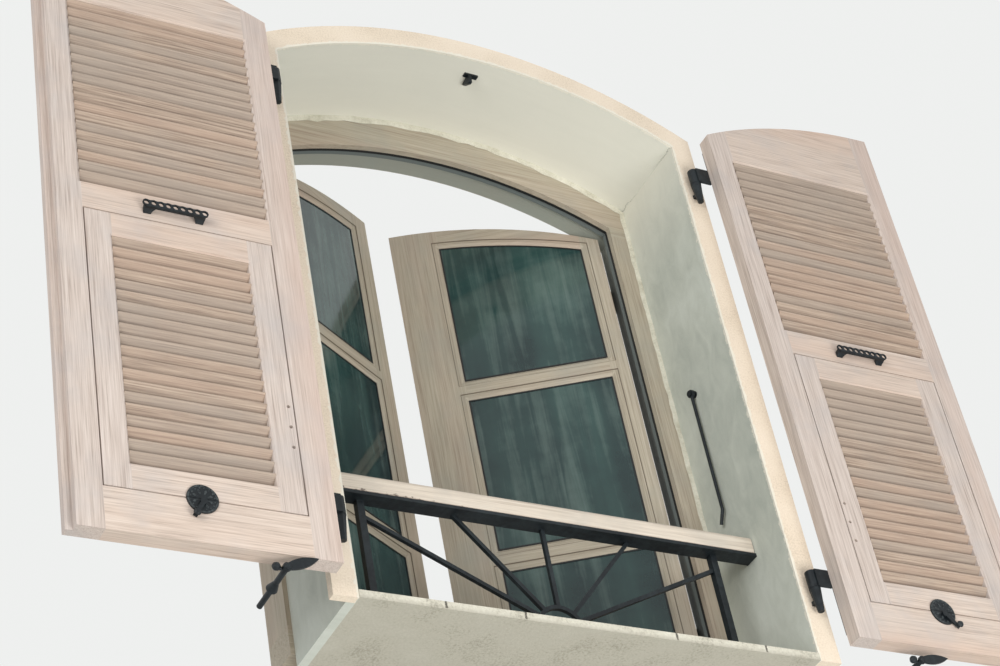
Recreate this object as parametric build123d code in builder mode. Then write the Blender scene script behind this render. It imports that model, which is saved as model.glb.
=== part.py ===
# Arched casement window with a plastered reveal, a sill, a guard rail and two louvred
# shutters folded back against the facade.
# Millimetres, +Z up, +X along the facade, +Y into the building. The origin lies on the
# facade face, midway between the reveals, level with the bottom edge of the shutters.

from build123d import *
import os
from math import atan2, cos, degrees, radians, sin, sqrt, tan

os.makedirs("parts", exist_ok=True)

# Opening in the facade
reveal_width = 1070.0
reveal_crown = 1618.0
reveal_radius = 1100.0
reveal_depth = 254.0
plaster_thickness = 20.0
band_width = 55.0
band_thickness = 20.0

# Sill
sill_front_top = -5.0
sill_front_height = 18.0
sill_overhang = 2.0
sill_seat_depth = 46.0
sill_step = 8.0
sill_fall = 3.0

# Fixed window frame
frame_depth = 92.5
frame_face_width = 55.0
frame_cover = 30.0
frame_head_drop = 96.0
frame_lip_depth = 15.0
frame_stop_depth = 35.0
frame_rebate = 28.0
frame_crown_rebate = 16.0
frame_foot_rebate = 13.0
frame_rail_height = 79.0
frame_joint_drop = 27.0
frame_foot_fall = 8.0
seal_seat = 10.0
seal_lip_depth = 8.0
seal_setback = 3.0
seal_thickness = 2.7

# Casement sashes
sash_thickness = 56.0
sash_edge_play = 4.0
sash_seal_gap = 0.3
sash_foot_play = 3.0
sash_head_play = 4.0
right_sash_width = 523.0
left_sash_width = 475.0
right_sash_open = 30.8
left_sash_open = 29.5
lap_reach = 26.0
lap_thickness = 20.0
lap_play = 3.0
hinge_stile_width = 46.0
right_meeting_stile_width = 122.0
left_meeting_stile_width = 63.0
light_crown_drop = 56.0
light_radius = 1300.0
sash_bottom_rail_height = 90.0
glazing_bar_height = 60.0
upper_bar_foot = 980.0
lower_bar_foot = 478.0
outer_bead_depth = 7.0
outer_bead_angle = 58.0
inner_bead_depth = 12.0
inner_bead_angle = 47.0
bead_step_width = 6.0
bead_step_depth = 2.0
pane_thickness = 22.0
pane_seat = 7.0

# Sash hinges
sash_pin_radius = 4.0
sash_knuckle_radius = 6.8
sash_knuckle_length = 32.0
sash_axis_standoff = 6.0
sash_leaf_width = 40.0
sash_leaf_thickness = 3.0
sash_hinge_heights = (240.0, 1250.0)

# Handle of the sash that opens first
handle_height = 720.0
rose_width = 30.0
rose_height = 72.0
rose_thickness = 9.0
neck_radius = 7.0
neck_length = 42.0
neck_foot_play = 0.3
grip_length = 118.0
grip_width = 18.0
grip_thickness = 11.0

# Guard rail
guard_y = 134.0
guard_bar_y = 126.0
handrail_y = 131.5
guard_bar_top = 322.0
guard_bar_depth = 38.0
guard_bar_thickness = 8.0
handrail_width = 45.0
handrail_height = 49.0
handrail_end_play = 2.0
handrail_top_round = 15.0
handrail_foot_round = 8.0
post_size = 16.0
post_x = 430.0
ray_size = 9.0
guard_foot_height = 66.0
guard_hub_radius = 56.0
inner_ray_x = 212.0
outer_ray_drop = 40.0

# Shutters
shutter_thickness = 37.0
shutter_side_play = 9.0
shutter_gap = 6.0
shutter_head_play = 18.0
shutter_arch_radius = 1150.0
shutter_bottom = 0.0
shutter_hinge_stile_width = 59.0
shutter_meeting_stile_width = 54.5
bottom_rail_height = 95.5
mid_rail_height = 74.0
flap_height = 682.5
flap_gap = 3.0
louvre_opening_height = 537.0
opening_chamfer = 6.0
rebate_reach = 15.0
rebate_depth = 18.0
rebate_side_play = 3.0
rebate_face_play = 0.6

# Slats
slat_chord = 44.0
slat_thickness = 8.0
slat_tilt = 46.0
slat_pitch = 28.1
slat_inset = 2.0

# Flaps
flap_stile_width = 55.0
flap_rail_height = 60.0
flap_chamfer = 4.0
flap_hinge_inset = 95.0
flap_axis_standoff = 5.0
flap_pin_radius = 2.5
flap_knuckle_radius = 4.7
flap_knuckle_length = 22.0
flap_knuckle_play = 0.3
flap_leaf_thickness = 3.0
flap_leaf_height = 38.0
peg_hole_radius = 4.0
peg_hole_depth = 9.0
peg_hole_inset = 10.0
peg_hole_heights = (257.5, 307.0, 357.0)

# Shutter hinges
pintle_x = 561.0
pintle_y = -17.5
pintle_pin_radius = 7.0
pin_clearance = 0.05
eye_radius = 13.0
eye_length = 42.0
lower_eye_z = 150.0
upper_eye_z = 1340.0
eye_lift = 0.2
strap_thickness = 5.0
strap_width = 34.0
strap_edge_play = 3.0
strap_rail_leg = 200.0
strap_arm_thickness = 8.0
lower_strap_foot = 30.0
upper_strap_top = 1445.0
pintle_body_length = 58.0
pintle_body_taper = 5.0
pintle_sides = 8
pintle_tail_width = 10.0
pintle_tail_depth = 70.0

# Bridge handle
handle_holes = 9
handle_hole_pitch = 15.75
handle_hole_radius = 4.2
handle_hole_sides = 8
handle_link_radius = 8.5
handle_link_sides = 12
handle_bar_height = 12.0
handle_bar_thickness = 5.0
handle_standoff = 20.0
handle_rise = 29.0
handle_foot_spacing = 112.0
handle_foot_width = 20.0
handle_foot_tip = 10.0
handle_lug_drop = 4.5
handle_lug_height = 18.0
handle_lug_thickness = 3.0

# Flap latch
rosette_radius = 32.0
rosette_thickness = 3.0
rosette_relief = 1.5
rosette_split = 1.0
right_latch_offset = -9.5
left_latch_offset = 14.0
latch_spindle_radius = 4.0
latch_spindle_drop = 8.0
latch_boss_radius = 7.0
latch_boss_thickness = 6.0
latch_arm_width = 9.0
latch_arm_thickness = 4.0
latch_length = 38.0
latch_knob_radius = 7.5
latch_knob_length = 12.0
latch_neck_radius = 3.5
latch_tongue_length = 34.0
latch_tongue_width = 14.0
latch_tongue_thickness = 4.0
latch_play = 0.6
tongue_play = 1.2
left_latch_turn = 30.0
right_latch_turn = 42.0

# Holdbacks
left_holdback_x = -717.0
left_holdback_z = -31.0
right_holdback_x = 744.0
right_holdback_z = -40.0
stem_radius = 6.0
stem_flare_radius = 12.0
stem_flare_length = 22.0
stem_tail_depth = 60.0
stem_pivot_radius = 4.0
stem_head_radius = 7.0
stem_head_thickness = 3.0
stem_head_bevel = 2.0
ball_radius = 8.5
ball_offset = 21.0
ball_neck_radius = 3.5
blade_hub_radius = 9.0
blade_neck = 5.5
blade_length = 72.0
blade_width = 21.0
blade_thickness = 6.0
blade_play = 0.3
left_blade_tilt = 22.0
right_blade_tilt = 9.0

# Hook rod and shutter stop
hook_y = 166.0
hook_pivot_z = 816.0
hook_rod_radius = 4.0
hook_rod_offset = 11.0
hook_rod_length = 335.0
hook_crank_length = 30.0
hook_crank_back = 18.0
hook_eye_radius = 10.0
hook_rose_radius = 9.0
hook_rose_thickness = 3.0
hook_pin_overrun = 4.0
hook_button_rim = 3.0
hook_button_thickness = 3.0
stop_play = 9.0
stop_x = 16.0
stop_width = 36.0
stop_depth = 12.0
stop_plate_thickness = 5.0
stop_nose_height = 26.0
stop_nose_width = 9.0
stop_nose_reach = 34.0

half_reveal = reveal_width / 2
reveal_centre_z = reveal_crown - reveal_radius
sill_front_foot = sill_front_top - sill_front_height
sill_rear_top = sill_front_top + sill_step + sill_fall


def facade(y):
    # A drawing plane parallel to the facade: x along it, y up, seen from outside.
    return Plane.XZ.offset(-y)


def arched(half_width, foot, crown, radius):
    # Outline of an opening with a segmental head, standing on its foot line.
    with BuildSketch() as outline:
        with Locations((0, foot)):
            Rectangle(2 * half_width, crown - foot, align=(Align.CENTER, Align.MIN))
        with Locations((0, crown - radius)):
            Circle(radius, mode=Mode.INTERSECT)
    return outline.sketch


def upright(left, foot, width, height):
    # A rectangle given by its lower left corner.
    with BuildSketch() as outline:
        with Locations((left, foot)):
            Rectangle(width, height, align=(Align.MIN, Align.MIN))
    return outline.sketch


def finish(piece, label):
    piece.part.label = label
    export_step(piece.part, f"parts/{label}.step")


def finish_mirrored(piece, label):
    with BuildPart() as twin:
        mirror(piece.part, about=Plane.YZ)
    finish(twin, label)


def finish_side(piece, stem, side):
    # Pieces of the left side are drawn on the right and mirrored.
    if side == "right":
        finish(piece, f"{stem}_right")
    else:
        finish_mirrored(piece, f"{stem}_left")


def finish_pair(piece, stem):
    finish_side(piece, stem, "right")
    finish_side(piece, stem, "left")


# Reveal lining: the smooth plaster of both jambs and of the arch soffit, one coat.
with BuildPart() as reveal_lining:
    with BuildSketch(facade(reveal_depth)):
        add(arched(half_reveal + plaster_thickness, sill_front_foot,
                   reveal_crown + plaster_thickness, reveal_radius + plaster_thickness))
        add(arched(half_reveal, sill_front_foot, reveal_crown, reveal_radius), mode=Mode.SUBTRACT)
    extrude(amount=reveal_depth - band_thickness)
finish(reveal_lining, "reveal_lining")

# Wall pintles: a round pin on a tapered eight-sided body, its square tail let into the masonry.
with BuildPart() as shutter_pintles:
    for eye_z in (lower_eye_z, upper_eye_z):
        with BuildSketch(Plane.XY.offset(eye_z)):
            with Locations((pintle_x, pintle_y)):
                RegularPolygon(eye_radius, pintle_sides)
        extrude(amount=-pintle_body_length, taper=pintle_body_taper)
        with BuildSketch(Plane.XY.offset(eye_z)):
            with Locations((pintle_x, pintle_y)):
                Circle(pintle_pin_radius)
        extrude(amount=eye_length - 1)
        with BuildSketch(facade(pintle_tail_depth)):
            with Locations((pintle_x, eye_z - pintle_body_length / 2)):
                Rectangle(pintle_tail_width, pintle_tail_width)
        extrude(amount=pintle_tail_depth - pintle_y)
    mirror(about=Plane.YZ)
finish(shutter_pintles, "shutter_pintles")

# Render band round the arris of the opening, drilled for the pintle tails.
with BuildPart() as wall_band:
    with BuildSketch(facade(band_thickness)):
        add(arched(half_reveal + band_width, sill_front_foot,
                   reveal_crown + band_width, reveal_radius + band_width))
        add(arched(half_reveal, sill_front_foot, reveal_crown, reveal_radius), mode=Mode.SUBTRACT)
    extrude(amount=band_thickness)
    with BuildSketch(facade(band_thickness)):
        for eye_z in (lower_eye_z, upper_eye_z):
            with Locations((-pintle_x, eye_z - pintle_body_length / 2),
                           (pintle_x, eye_z - pintle_body_length / 2)):
                Rectangle(pintle_tail_width, pintle_tail_width)
    extrude(amount=band_thickness, mode=Mode.SUBTRACT)
finish(wall_band, "wall_band")

# Sill: a stone slab with a seat for the closed shutters and a fall towards the front.
sill_back = reveal_depth + frame_depth
with BuildPart() as sill:
    with BuildSketch(Plane.YZ.offset(-half_reveal)):
        with BuildLine():
            Polyline(
                (-sill_overhang, sill_front_foot),
                (sill_back, sill_front_foot),
                (sill_back, sill_rear_top),
                (reveal_depth, sill_rear_top),
                (sill_seat_depth, sill_front_top + sill_step),
                (sill_seat_depth, sill_front_top),
                (-sill_overhang, sill_front_top),
                close=True,
            )
        make_face()
    extrude(amount=reveal_width)
finish(sill, "sill")

# Fixed frame. The sashes close against its stop from inside.
half_sight = half_reveal - frame_face_width
sight_crown = reveal_crown - frame_head_drop
half_seat = half_sight + seal_seat
seat_crown = sight_crown + seal_seat
half_rebate = half_sight + frame_rebate
rebate_crown = sight_crown + frame_crown_rebate
half_frame = half_reveal + frame_cover
frame_crown = reveal_crown + frame_cover
frame_back = reveal_depth + frame_depth
lip_back = reveal_depth + frame_lip_depth
stop_face = reveal_depth + frame_stop_depth
sight_foot = sill_rear_top + frame_rail_height
seat_foot = sight_foot - seal_seat
rebate_foot = sight_foot - frame_foot_rebate
head_foot = sight_crown - reveal_radius + sqrt(reveal_radius**2 - half_sight**2) - frame_joint_drop

with BuildPart() as frame_jambs:
    with BuildSketch(Plane.XY.offset(rebate_foot)):
        with BuildLine():
            Polyline(
                (half_sight, reveal_depth),
                (half_frame, reveal_depth),
                (half_frame, frame_back),
                (half_rebate, frame_back),
                (half_rebate, stop_face),
                (half_seat, stop_face),
                (half_seat, lip_back),
                (half_sight, lip_back),
                close=True,
            )
        make_face()
        mirror(about=Plane.YZ)
    extrude(amount=head_foot - rebate_foot)
finish(frame_jambs, "frame_jambs")

with BuildPart() as frame_head:
    with BuildSketch(facade(lip_back)):
        add(arched(half_frame, head_foot, frame_crown, reveal_radius + frame_cover))
        add(arched(half_sight, head_foot, sight_crown, reveal_radius), mode=Mode.SUBTRACT)
    extrude(amount=frame_lip_depth)
    with BuildSketch(facade(stop_face)):
        add(arched(half_frame, head_foot, frame_crown, reveal_radius + frame_cover))
        add(arched(half_seat, head_foot, seat_crown, reveal_radius), mode=Mode.SUBTRACT)
    extrude(amount=stop_face - lip_back)
    with BuildSketch(facade(frame_back)):
        add(arched(half_frame, head_foot, frame_crown, reveal_radius + frame_cover))
        add(arched(half_rebate, head_foot, rebate_crown, reveal_radius), mode=Mode.SUBTRACT)
    extrude(amount=frame_back - stop_face)
finish(frame_head, "frame_head")

with BuildPart() as frame_bottom_rail:
    with BuildSketch(Plane.YZ.offset(-half_frame)):
        with BuildLine():
            Polyline(
                (reveal_depth, sill_rear_top),
                (frame_back, sill_rear_top),
                (frame_back, rebate_foot),
                (reveal_depth, rebate_foot),
                close=True,
            )
        make_face()
    extrude(amount=2 * half_frame)
    with BuildSketch(Plane.YZ.offset(-half_sight)):
        with BuildLine():
            Polyline(
                (reveal_depth, rebate_foot),
                (lip_back, rebate_foot),
                (lip_back, sight_foot),
                (reveal_depth, sight_foot - frame_foot_fall),
                close=True,
            )
        make_face()
    extrude(amount=2 * half_sight)
    with BuildSketch(facade(stop_face)):
        add(upright(-half_seat, rebate_foot, 2 * half_seat, seat_foot - rebate_foot))
    extrude(amount=stop_face - lip_back)
finish(frame_bottom_rail, "frame_bottom_rail")

# Seal: a rubber strip seated behind the lip all round, with a proud front edge and a soft
# rear edge that the sashes close against.
with BuildPart() as frame_seal:
    with BuildSketch(facade(lip_back + seal_lip_depth)):
        add(arched(half_seat, seat_foot, seat_crown, reveal_radius))
        add(arched(half_sight, sight_foot, sight_crown, reveal_radius), mode=Mode.SUBTRACT)
    extrude(amount=seal_lip_depth)
    with BuildSketch(facade(stop_face + seal_thickness)):
        add(arched(half_seat, seat_foot, seat_crown, reveal_radius))
        add(arched(half_sight + seal_setback, sight_foot - seal_setback,
                   sight_crown + seal_setback, reveal_radius), mode=Mode.SUBTRACT)
    extrude(amount=stop_face + seal_thickness - lip_back)
finish(frame_seal, "frame_seal")

# Guard rail
guard_bar_foot = guard_bar_top - guard_bar_thickness
with BuildPart() as handrail:
    with BuildSketch(Plane.YZ.offset(handrail_end_play - half_reveal)):
        with Locations((handrail_y, guard_bar_top + handrail_height / 2)):
            Rectangle(handrail_width, handrail_height)
    extrude(amount=reveal_width - 2 * handrail_end_play)
    fillet(handrail.edges().filter_by(Axis.X).group_by(Axis.Z)[-1], handrail_top_round)
    fillet(handrail.edges().filter_by(Axis.X).group_by(Axis.Z)[0], handrail_foot_round)
finish(handrail, "handrail")

with BuildPart() as guard_bar:
    with BuildSketch(Plane.YZ.offset(-half_reveal)):
        with Locations((guard_bar_y, guard_bar_foot)):
            Rectangle(guard_bar_depth, guard_bar_thickness, align=(Align.CENTER, Align.MIN))
    extrude(amount=reveal_width)
finish(guard_bar, "guard_bar")

# The posts stand on the sloping sill, so their feet are cut to its fall.
sill_slope = sill_fall / (reveal_depth - sill_seat_depth)


def sill_top_at(y):
    return sill_front_top + sill_step + (y - sill_seat_depth) * sill_slope


with BuildPart() as guard_posts:
    with BuildSketch(Plane.YZ.offset(post_x - post_size / 2)):
        with BuildLine():
            Polyline(
                (guard_y - post_size / 2, sill_top_at(guard_y - post_size / 2)),
                (guard_y + post_size / 2, sill_top_at(guard_y + post_size / 2)),
                (guard_y + post_size / 2, guard_bar_foot),
                (guard_y - post_size / 2, guard_bar_foot),
                close=True,
            )
        make_face()
    extrude(amount=post_size)
    mirror(about=Plane.YZ)
finish(guard_posts, "guard_posts")

# Bottom bar, half ring and rays, welded together.
ray_root = guard_hub_radius - ray_size / 2
outer_ray_top = guard_bar_foot - outer_ray_drop
ray_ends = (
    (0.0, guard_bar_foot),
    (inner_ray_x, guard_bar_foot),
    (post_x - post_size / 2, outer_ray_top),
)
with BuildPart() as guard_rays:
    with BuildSketch(facade(guard_y + ray_size / 2)):
        with Locations((0, guard_foot_height)):
            Rectangle(2 * post_x - post_size, ray_size)
            Circle(guard_hub_radius)
            Circle(guard_hub_radius - ray_size, mode=Mode.SUBTRACT)
            with Locations((0, -ray_size / 2)):
                Rectangle(2 * guard_hub_radius, guard_hub_radius, align=(Align.CENTER, Align.MAX), mode=Mode.SUBTRACT)
            Rectangle(2 * guard_hub_radius, ray_size)
        for end_x, end_z in ray_ends:
            reach = sqrt(end_x**2 + (end_z - guard_foot_height)**2)
            lean = degrees(atan2(end_z - guard_foot_height, end_x))
            for angle in sorted({lean, 180 - lean}):
                with Locations(Location((0, guard_foot_height, 0), (0, 0, angle))):
                    with Locations((ray_root, 0)):
                        Rectangle(reach + ray_size - ray_root, ray_size, align=(Align.MIN, Align.CENTER))
        add(upright(-post_x + post_size / 2, 0, 2 * post_x - post_size, guard_bar_foot), mode=Mode.INTERSECT)
    extrude(amount=ray_size)
finish(guard_rays, "guard_rays")

# Screw eye and hanging hook rod on the right reveal
hook_x = half_reveal - hook_rod_offset
with BuildPart() as hook_eye:
    with BuildSketch(Plane.YZ.offset(half_reveal)):
        with Locations((hook_y, hook_pivot_z)):
            RegularPolygon(hook_rose_radius, 8)
    extrude(amount=-hook_rose_thickness)
    with BuildSketch(Plane.YZ.offset(half_reveal)):
        with Locations((hook_y, hook_pivot_z)):
            Circle(hook_rod_radius)
    extrude(amount=-(hook_rod_offset + hook_rod_radius + hook_pin_overrun))
    with BuildSketch(Plane.YZ.offset(hook_x - hook_rod_radius - 1)):
        with Locations((hook_y, hook_pivot_z)):
            Circle(hook_rod_radius + hook_button_rim)
    extrude(amount=-hook_button_thickness)
finish(hook_eye, "hook_eye")

rod_top = hook_pivot_z - hook_eye_radius + 1
with BuildPart() as hook_rod:
    with BuildSketch(Plane.YZ.offset(hook_x - hook_rod_radius)):
        with Locations((hook_y, hook_pivot_z)):
            Circle(hook_eye_radius)
            Circle(hook_rod_radius + pin_clearance, mode=Mode.SUBTRACT)
    extrude(amount=2 * hook_rod_radius)
    with BuildSketch(Plane.XY.offset(rod_top)) as rod_section:
        with Locations((hook_x, hook_y)):
            Circle(hook_rod_radius)
    with BuildLine() as rod_route:
        Polyline(
            (hook_x, hook_y, rod_top),
            (hook_x, hook_y, hook_pivot_z - hook_rod_length),
            (hook_x, hook_y + hook_crank_back, hook_pivot_z - hook_rod_length - hook_crank_length),
        )
    sweep(sections=rod_section.sketch, path=rod_route.line, transition=Transition.ROUND)
finish(hook_rod, "hook_rod")

# Shutter closed position, mirrored in the pintle line to give the open one
shutter_width = half_reveal - shutter_side_play - shutter_gap / 2
shutter_edge = 2 * pintle_x - half_reveal + shutter_side_play
shutter_crown = reveal_crown - shutter_head_play
shutter_back = 2 * pintle_y + 1
shutter_face = shutter_back - shutter_thickness
meeting_edge = shutter_edge + shutter_width
flap_foot = shutter_bottom + bottom_rail_height + flap_gap
flap_top = flap_foot + flap_height
mid_rail_foot = flap_top + flap_gap
mid_rail_top = mid_rail_foot + mid_rail_height
louvre_top = mid_rail_top + louvre_opening_height
opening_left = shutter_edge + shutter_hinge_stile_width
opening_right = meeting_edge - shutter_meeting_stile_width
opening_width = opening_right - opening_left

# Shutter stop under the crown of the arch: a winged plate with a bent tongue
stop_face_y = 2 * pintle_y - shutter_face + stop_play
with BuildPart() as soffit_stop:
    with BuildSketch(facade(stop_face_y + stop_depth)):
        add(upright(stop_x - stop_width / 2, reveal_crown - 3 * stop_plate_thickness,
                    stop_width, 4 * stop_plate_thickness))
        with Locations((0, reveal_centre_z)):
            Circle(reveal_radius, mode=Mode.INTERSECT)
            Circle(reveal_radius - stop_plate_thickness, mode=Mode.SUBTRACT)
    extrude(amount=stop_depth)
    with BuildSketch(Plane.YZ.offset(stop_x - stop_width / 4)):
        with BuildLine():
            Polyline(
                (stop_face_y, reveal_crown - stop_plate_thickness / 2),
                (stop_face_y + stop_nose_reach / 8, reveal_crown - stop_nose_height),
                (stop_face_y + stop_nose_reach / 3, reveal_crown - stop_nose_height),
                (stop_face_y + stop_nose_reach, reveal_crown - 2 * stop_plate_thickness),
                (stop_face_y + stop_nose_reach, reveal_crown - stop_plate_thickness),
                (stop_face_y + stop_depth, reveal_crown - stop_plate_thickness / 2),
                close=True,
            )
        make_face()
    extrude(amount=stop_nose_width)
finish(soffit_stop, "soffit_stop")


def shutter_head():
    # Everything below the curved head shared by all members of the open shutter.
    with BuildSketch() as outline:
        with Locations((2 * pintle_x, shutter_crown - shutter_arch_radius)):
            Circle(shutter_arch_radius)
            Rectangle(2 * shutter_arch_radius, shutter_arch_radius, align=(Align.CENTER, Align.MAX))
    return outline.sketch


# Bevel that runs round the louvre opening on the room side
with BuildPart() as louvre_bevel:
    with BuildSketch(facade(shutter_face + opening_chamfer)):
        add(upright(opening_left, mid_rail_top, opening_width, louvre_opening_height))
    extrude(amount=opening_chamfer, taper=-45)

with BuildPart() as shutter_hinge_stile:
    with BuildSketch(facade(shutter_back)):
        add(upright(shutter_edge, shutter_bottom, shutter_hinge_stile_width, shutter_crown))
        add(shutter_head(), mode=Mode.INTERSECT)
    extrude(amount=shutter_thickness)
    add(louvre_bevel.part, mode=Mode.SUBTRACT)
finish_pair(shutter_hinge_stile, "shutter_hinge_stile")

# The meeting stiles are rebated: the outer half of the left one laps over the right one.
rebate_recess = rebate_reach - shutter_gap + rebate_side_play
for side in ("right", "left"):
    with BuildPart() as shutter_meeting_stile:
        with BuildSketch(facade(shutter_back)):
            add(upright(opening_right, shutter_bottom, shutter_meeting_stile_width, shutter_crown))
            add(shutter_head(), mode=Mode.INTERSECT)
        extrude(amount=shutter_thickness)
        with BuildSketch(facade(shutter_back)):
            if side == "left":
                add(upright(meeting_edge, shutter_bottom, rebate_reach, shutter_crown))
                add(shutter_head(), mode=Mode.INTERSECT)
            else:
                add(upright(meeting_edge - rebate_recess, shutter_bottom, rebate_recess, shutter_crown))
        if side == "left":
            extrude(amount=rebate_depth)
        else:
            extrude(amount=rebate_depth + rebate_face_play, mode=Mode.SUBTRACT)
        add(louvre_bevel.part, mode=Mode.SUBTRACT)
    finish_side(shutter_meeting_stile, "shutter_meeting_stile", side)

with BuildPart() as shutter_top_rail:
    with BuildSketch(facade(shutter_back)):
        add(upright(opening_left, louvre_top, opening_width, shutter_crown - louvre_top))
        add(shutter_head(), mode=Mode.INTERSECT)
    extrude(amount=shutter_thickness)
    add(louvre_bevel.part, mode=Mode.SUBTRACT)
finish_pair(shutter_top_rail, "shutter_top_rail")

# The latch and the bridge handle share an upright line near the middle of each shutter.
shutter_middle = shutter_edge + shutter_width / 2
latch_lines = {
    "right": shutter_middle + right_latch_offset,
    "left": shutter_middle + left_latch_offset,
}
rosette_z = flap_foot - flap_gap / 2
latch_z = rosette_z - latch_spindle_drop
for side, latch_x in latch_lines.items():
    with BuildPart() as shutter_lower_rails:
        with BuildSketch(facade(shutter_back)):
            add(upright(opening_left, shutter_bottom, opening_width, bottom_rail_height))
            add(upright(opening_left, mid_rail_foot, opening_width, mid_rail_height))
            with Locations((latch_x, latch_z)):
                Circle(latch_spindle_radius + pin_clearance, mode=Mode.SUBTRACT)
        extrude(amount=shutter_thickness)
        add(louvre_bevel.part, mode=Mode.SUBTRACT)
    finish_side(shutter_lower_rails, "shutter_lower_rails", side)


def slat_profile(foot, height):
    # Sloping slats stacked up an opening, high on the room side and low outside.
    count = round(height / slat_pitch)
    with BuildSketch() as outline:
        with Locations(((shutter_face + shutter_back) / 2, foot + height / 2)):
            with GridLocations(1, height / count, 1, count):
                with Locations(Location((0, 0, 0), -slat_tilt)):
                    Rectangle(slat_chord, slat_thickness)
        with Locations(((shutter_face + shutter_back) / 2, foot)):
            Rectangle(shutter_thickness - 2 * slat_inset, height, align=(Align.CENTER, Align.MIN), mode=Mode.INTERSECT)
    return outline.sketch


with BuildPart() as shutter_slats:
    with BuildSketch(Plane.YZ.offset(opening_left)):
        add(slat_profile(mid_rail_top, louvre_opening_height))
    extrude(amount=opening_width)
finish_pair(shutter_slats, "shutter_slats")

# Flap: a louvred leaf hung from the mid rail
flap_left = opening_left + flap_gap
flap_right = opening_right - flap_gap
flap_width = flap_right - flap_left
light_left = flap_left + flap_stile_width
light_width = flap_width - 2 * flap_stile_width
light_foot = flap_foot + flap_rail_height
light_height = flap_height - 2 * flap_rail_height

with BuildPart() as flap_bevel:
    with BuildSketch(facade(shutter_face + flap_chamfer)):
        add(upright(light_left, light_foot, light_width, light_height))
    extrude(amount=flap_chamfer, taper=-45)

with BuildPart() as flap_stiles:
    with BuildSketch(facade(shutter_back)):
        add(upright(flap_left, flap_foot, flap_stile_width, flap_height))
        add(upright(flap_right - flap_stile_width, flap_foot, flap_stile_width, flap_height))
    extrude(amount=shutter_thickness)
    add(flap_bevel.part, mode=Mode.SUBTRACT)
    with BuildSketch(facade(shutter_face)):
        for hole_z in peg_hole_heights:
            with Locations((flap_left + peg_hole_inset, hole_z)):
                Circle(peg_hole_radius)
    extrude(amount=-peg_hole_depth, mode=Mode.SUBTRACT)
finish_pair(flap_stiles, "flap_stiles")

with BuildPart() as flap_rails:
    with BuildSketch(facade(shutter_back)):
        add(upright(light_left, flap_foot, light_width, flap_rail_height))
        add(upright(light_left, flap_top - flap_rail_height, light_width, flap_rail_height))
    extrude(amount=shutter_thickness)
    add(flap_bevel.part, mode=Mode.SUBTRACT)
finish_pair(flap_rails, "flap_rails")

with BuildPart() as flap_slats:
    with BuildSketch(Plane.YZ.offset(light_left)):
        add(slat_profile(light_foot, light_height))
    extrude(amount=light_width)
finish_pair(flap_slats, "flap_slats")

# Flap hinges on the outer face: fixed knuckles with the pin, one turning knuckle between
flap_axis_y = shutter_back + flap_axis_standoff
flap_axis_z = flap_top + flap_gap / 2
flap_hinge_x = (flap_left + flap_hinge_inset, flap_right - flap_hinge_inset)
turning_half = flap_knuckle_length / 2
fixed_start = turning_half + flap_knuckle_play

with BuildPart() as flap_hinges:
    for hinge_x in flap_hinge_x:
        with BuildSketch(Plane.YZ.offset(hinge_x - fixed_start - turning_half),
                         Plane.YZ.offset(hinge_x + fixed_start)):
            with Locations((flap_axis_y, flap_axis_z)):
                Circle(flap_knuckle_radius)
            with Locations((shutter_back, flap_axis_z)):
                Rectangle(flap_leaf_thickness, flap_leaf_height, align=(Align.MIN, Align.MIN))
        extrude(amount=turning_half)
        with BuildSketch(Plane.YZ.offset(hinge_x - fixed_start - turning_half)):
            with Locations((flap_axis_y, flap_axis_z)):
                Circle(flap_pin_radius)
        extrude(amount=2 * (fixed_start + turning_half))
finish_pair(flap_hinges, "flap_hinges")

# Rosette of the latch: one half on the flap, one half on the bottom rail.
rosette_front = shutter_face - rosette_thickness


def rosette_half(centre_x, upper):
    side = 1 if upper else -1
    with BuildSketch() as outline:
        with Locations((centre_x, rosette_z)):
            Circle(rosette_radius)
            with Locations((0, side * rosette_split / 2)):
                Rectangle(2 * rosette_radius, rosette_radius,
                          align=(Align.CENTER, Align.MIN if upper else Align.MAX),
                          mode=Mode.INTERSECT)
    return outline.sketch


for side, latch_x in latch_lines.items():
    with BuildPart() as flap_ironwork:
        for hinge_x in flap_hinge_x:
            with BuildSketch(Plane.YZ.offset(hinge_x - turning_half)):
                with Locations((flap_axis_y, flap_axis_z)):
                    Circle(flap_knuckle_radius)
                with Locations((shutter_back, flap_axis_z)):
                    Rectangle(flap_leaf_thickness, flap_leaf_height, align=(Align.MIN, Align.MAX))
                with Locations((flap_axis_y, flap_axis_z)):
                    Circle(flap_pin_radius + pin_clearance, mode=Mode.SUBTRACT)
            extrude(amount=flap_knuckle_length)
        with BuildSketch(facade(shutter_face)):
            add(rosette_half(latch_x, True))
        extrude(amount=rosette_thickness)
    finish_side(flap_ironwork, "flap_ironwork", side)

    with BuildPart() as latch_keeper:
        with BuildSketch(facade(shutter_face)):
            add(rosette_half(latch_x, False))
            with Locations((latch_x, latch_z)):
                Circle(latch_spindle_radius + pin_clearance, mode=Mode.SUBTRACT)
        extrude(amount=rosette_thickness)
    finish_side(latch_keeper, "latch_keeper", side)

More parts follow.
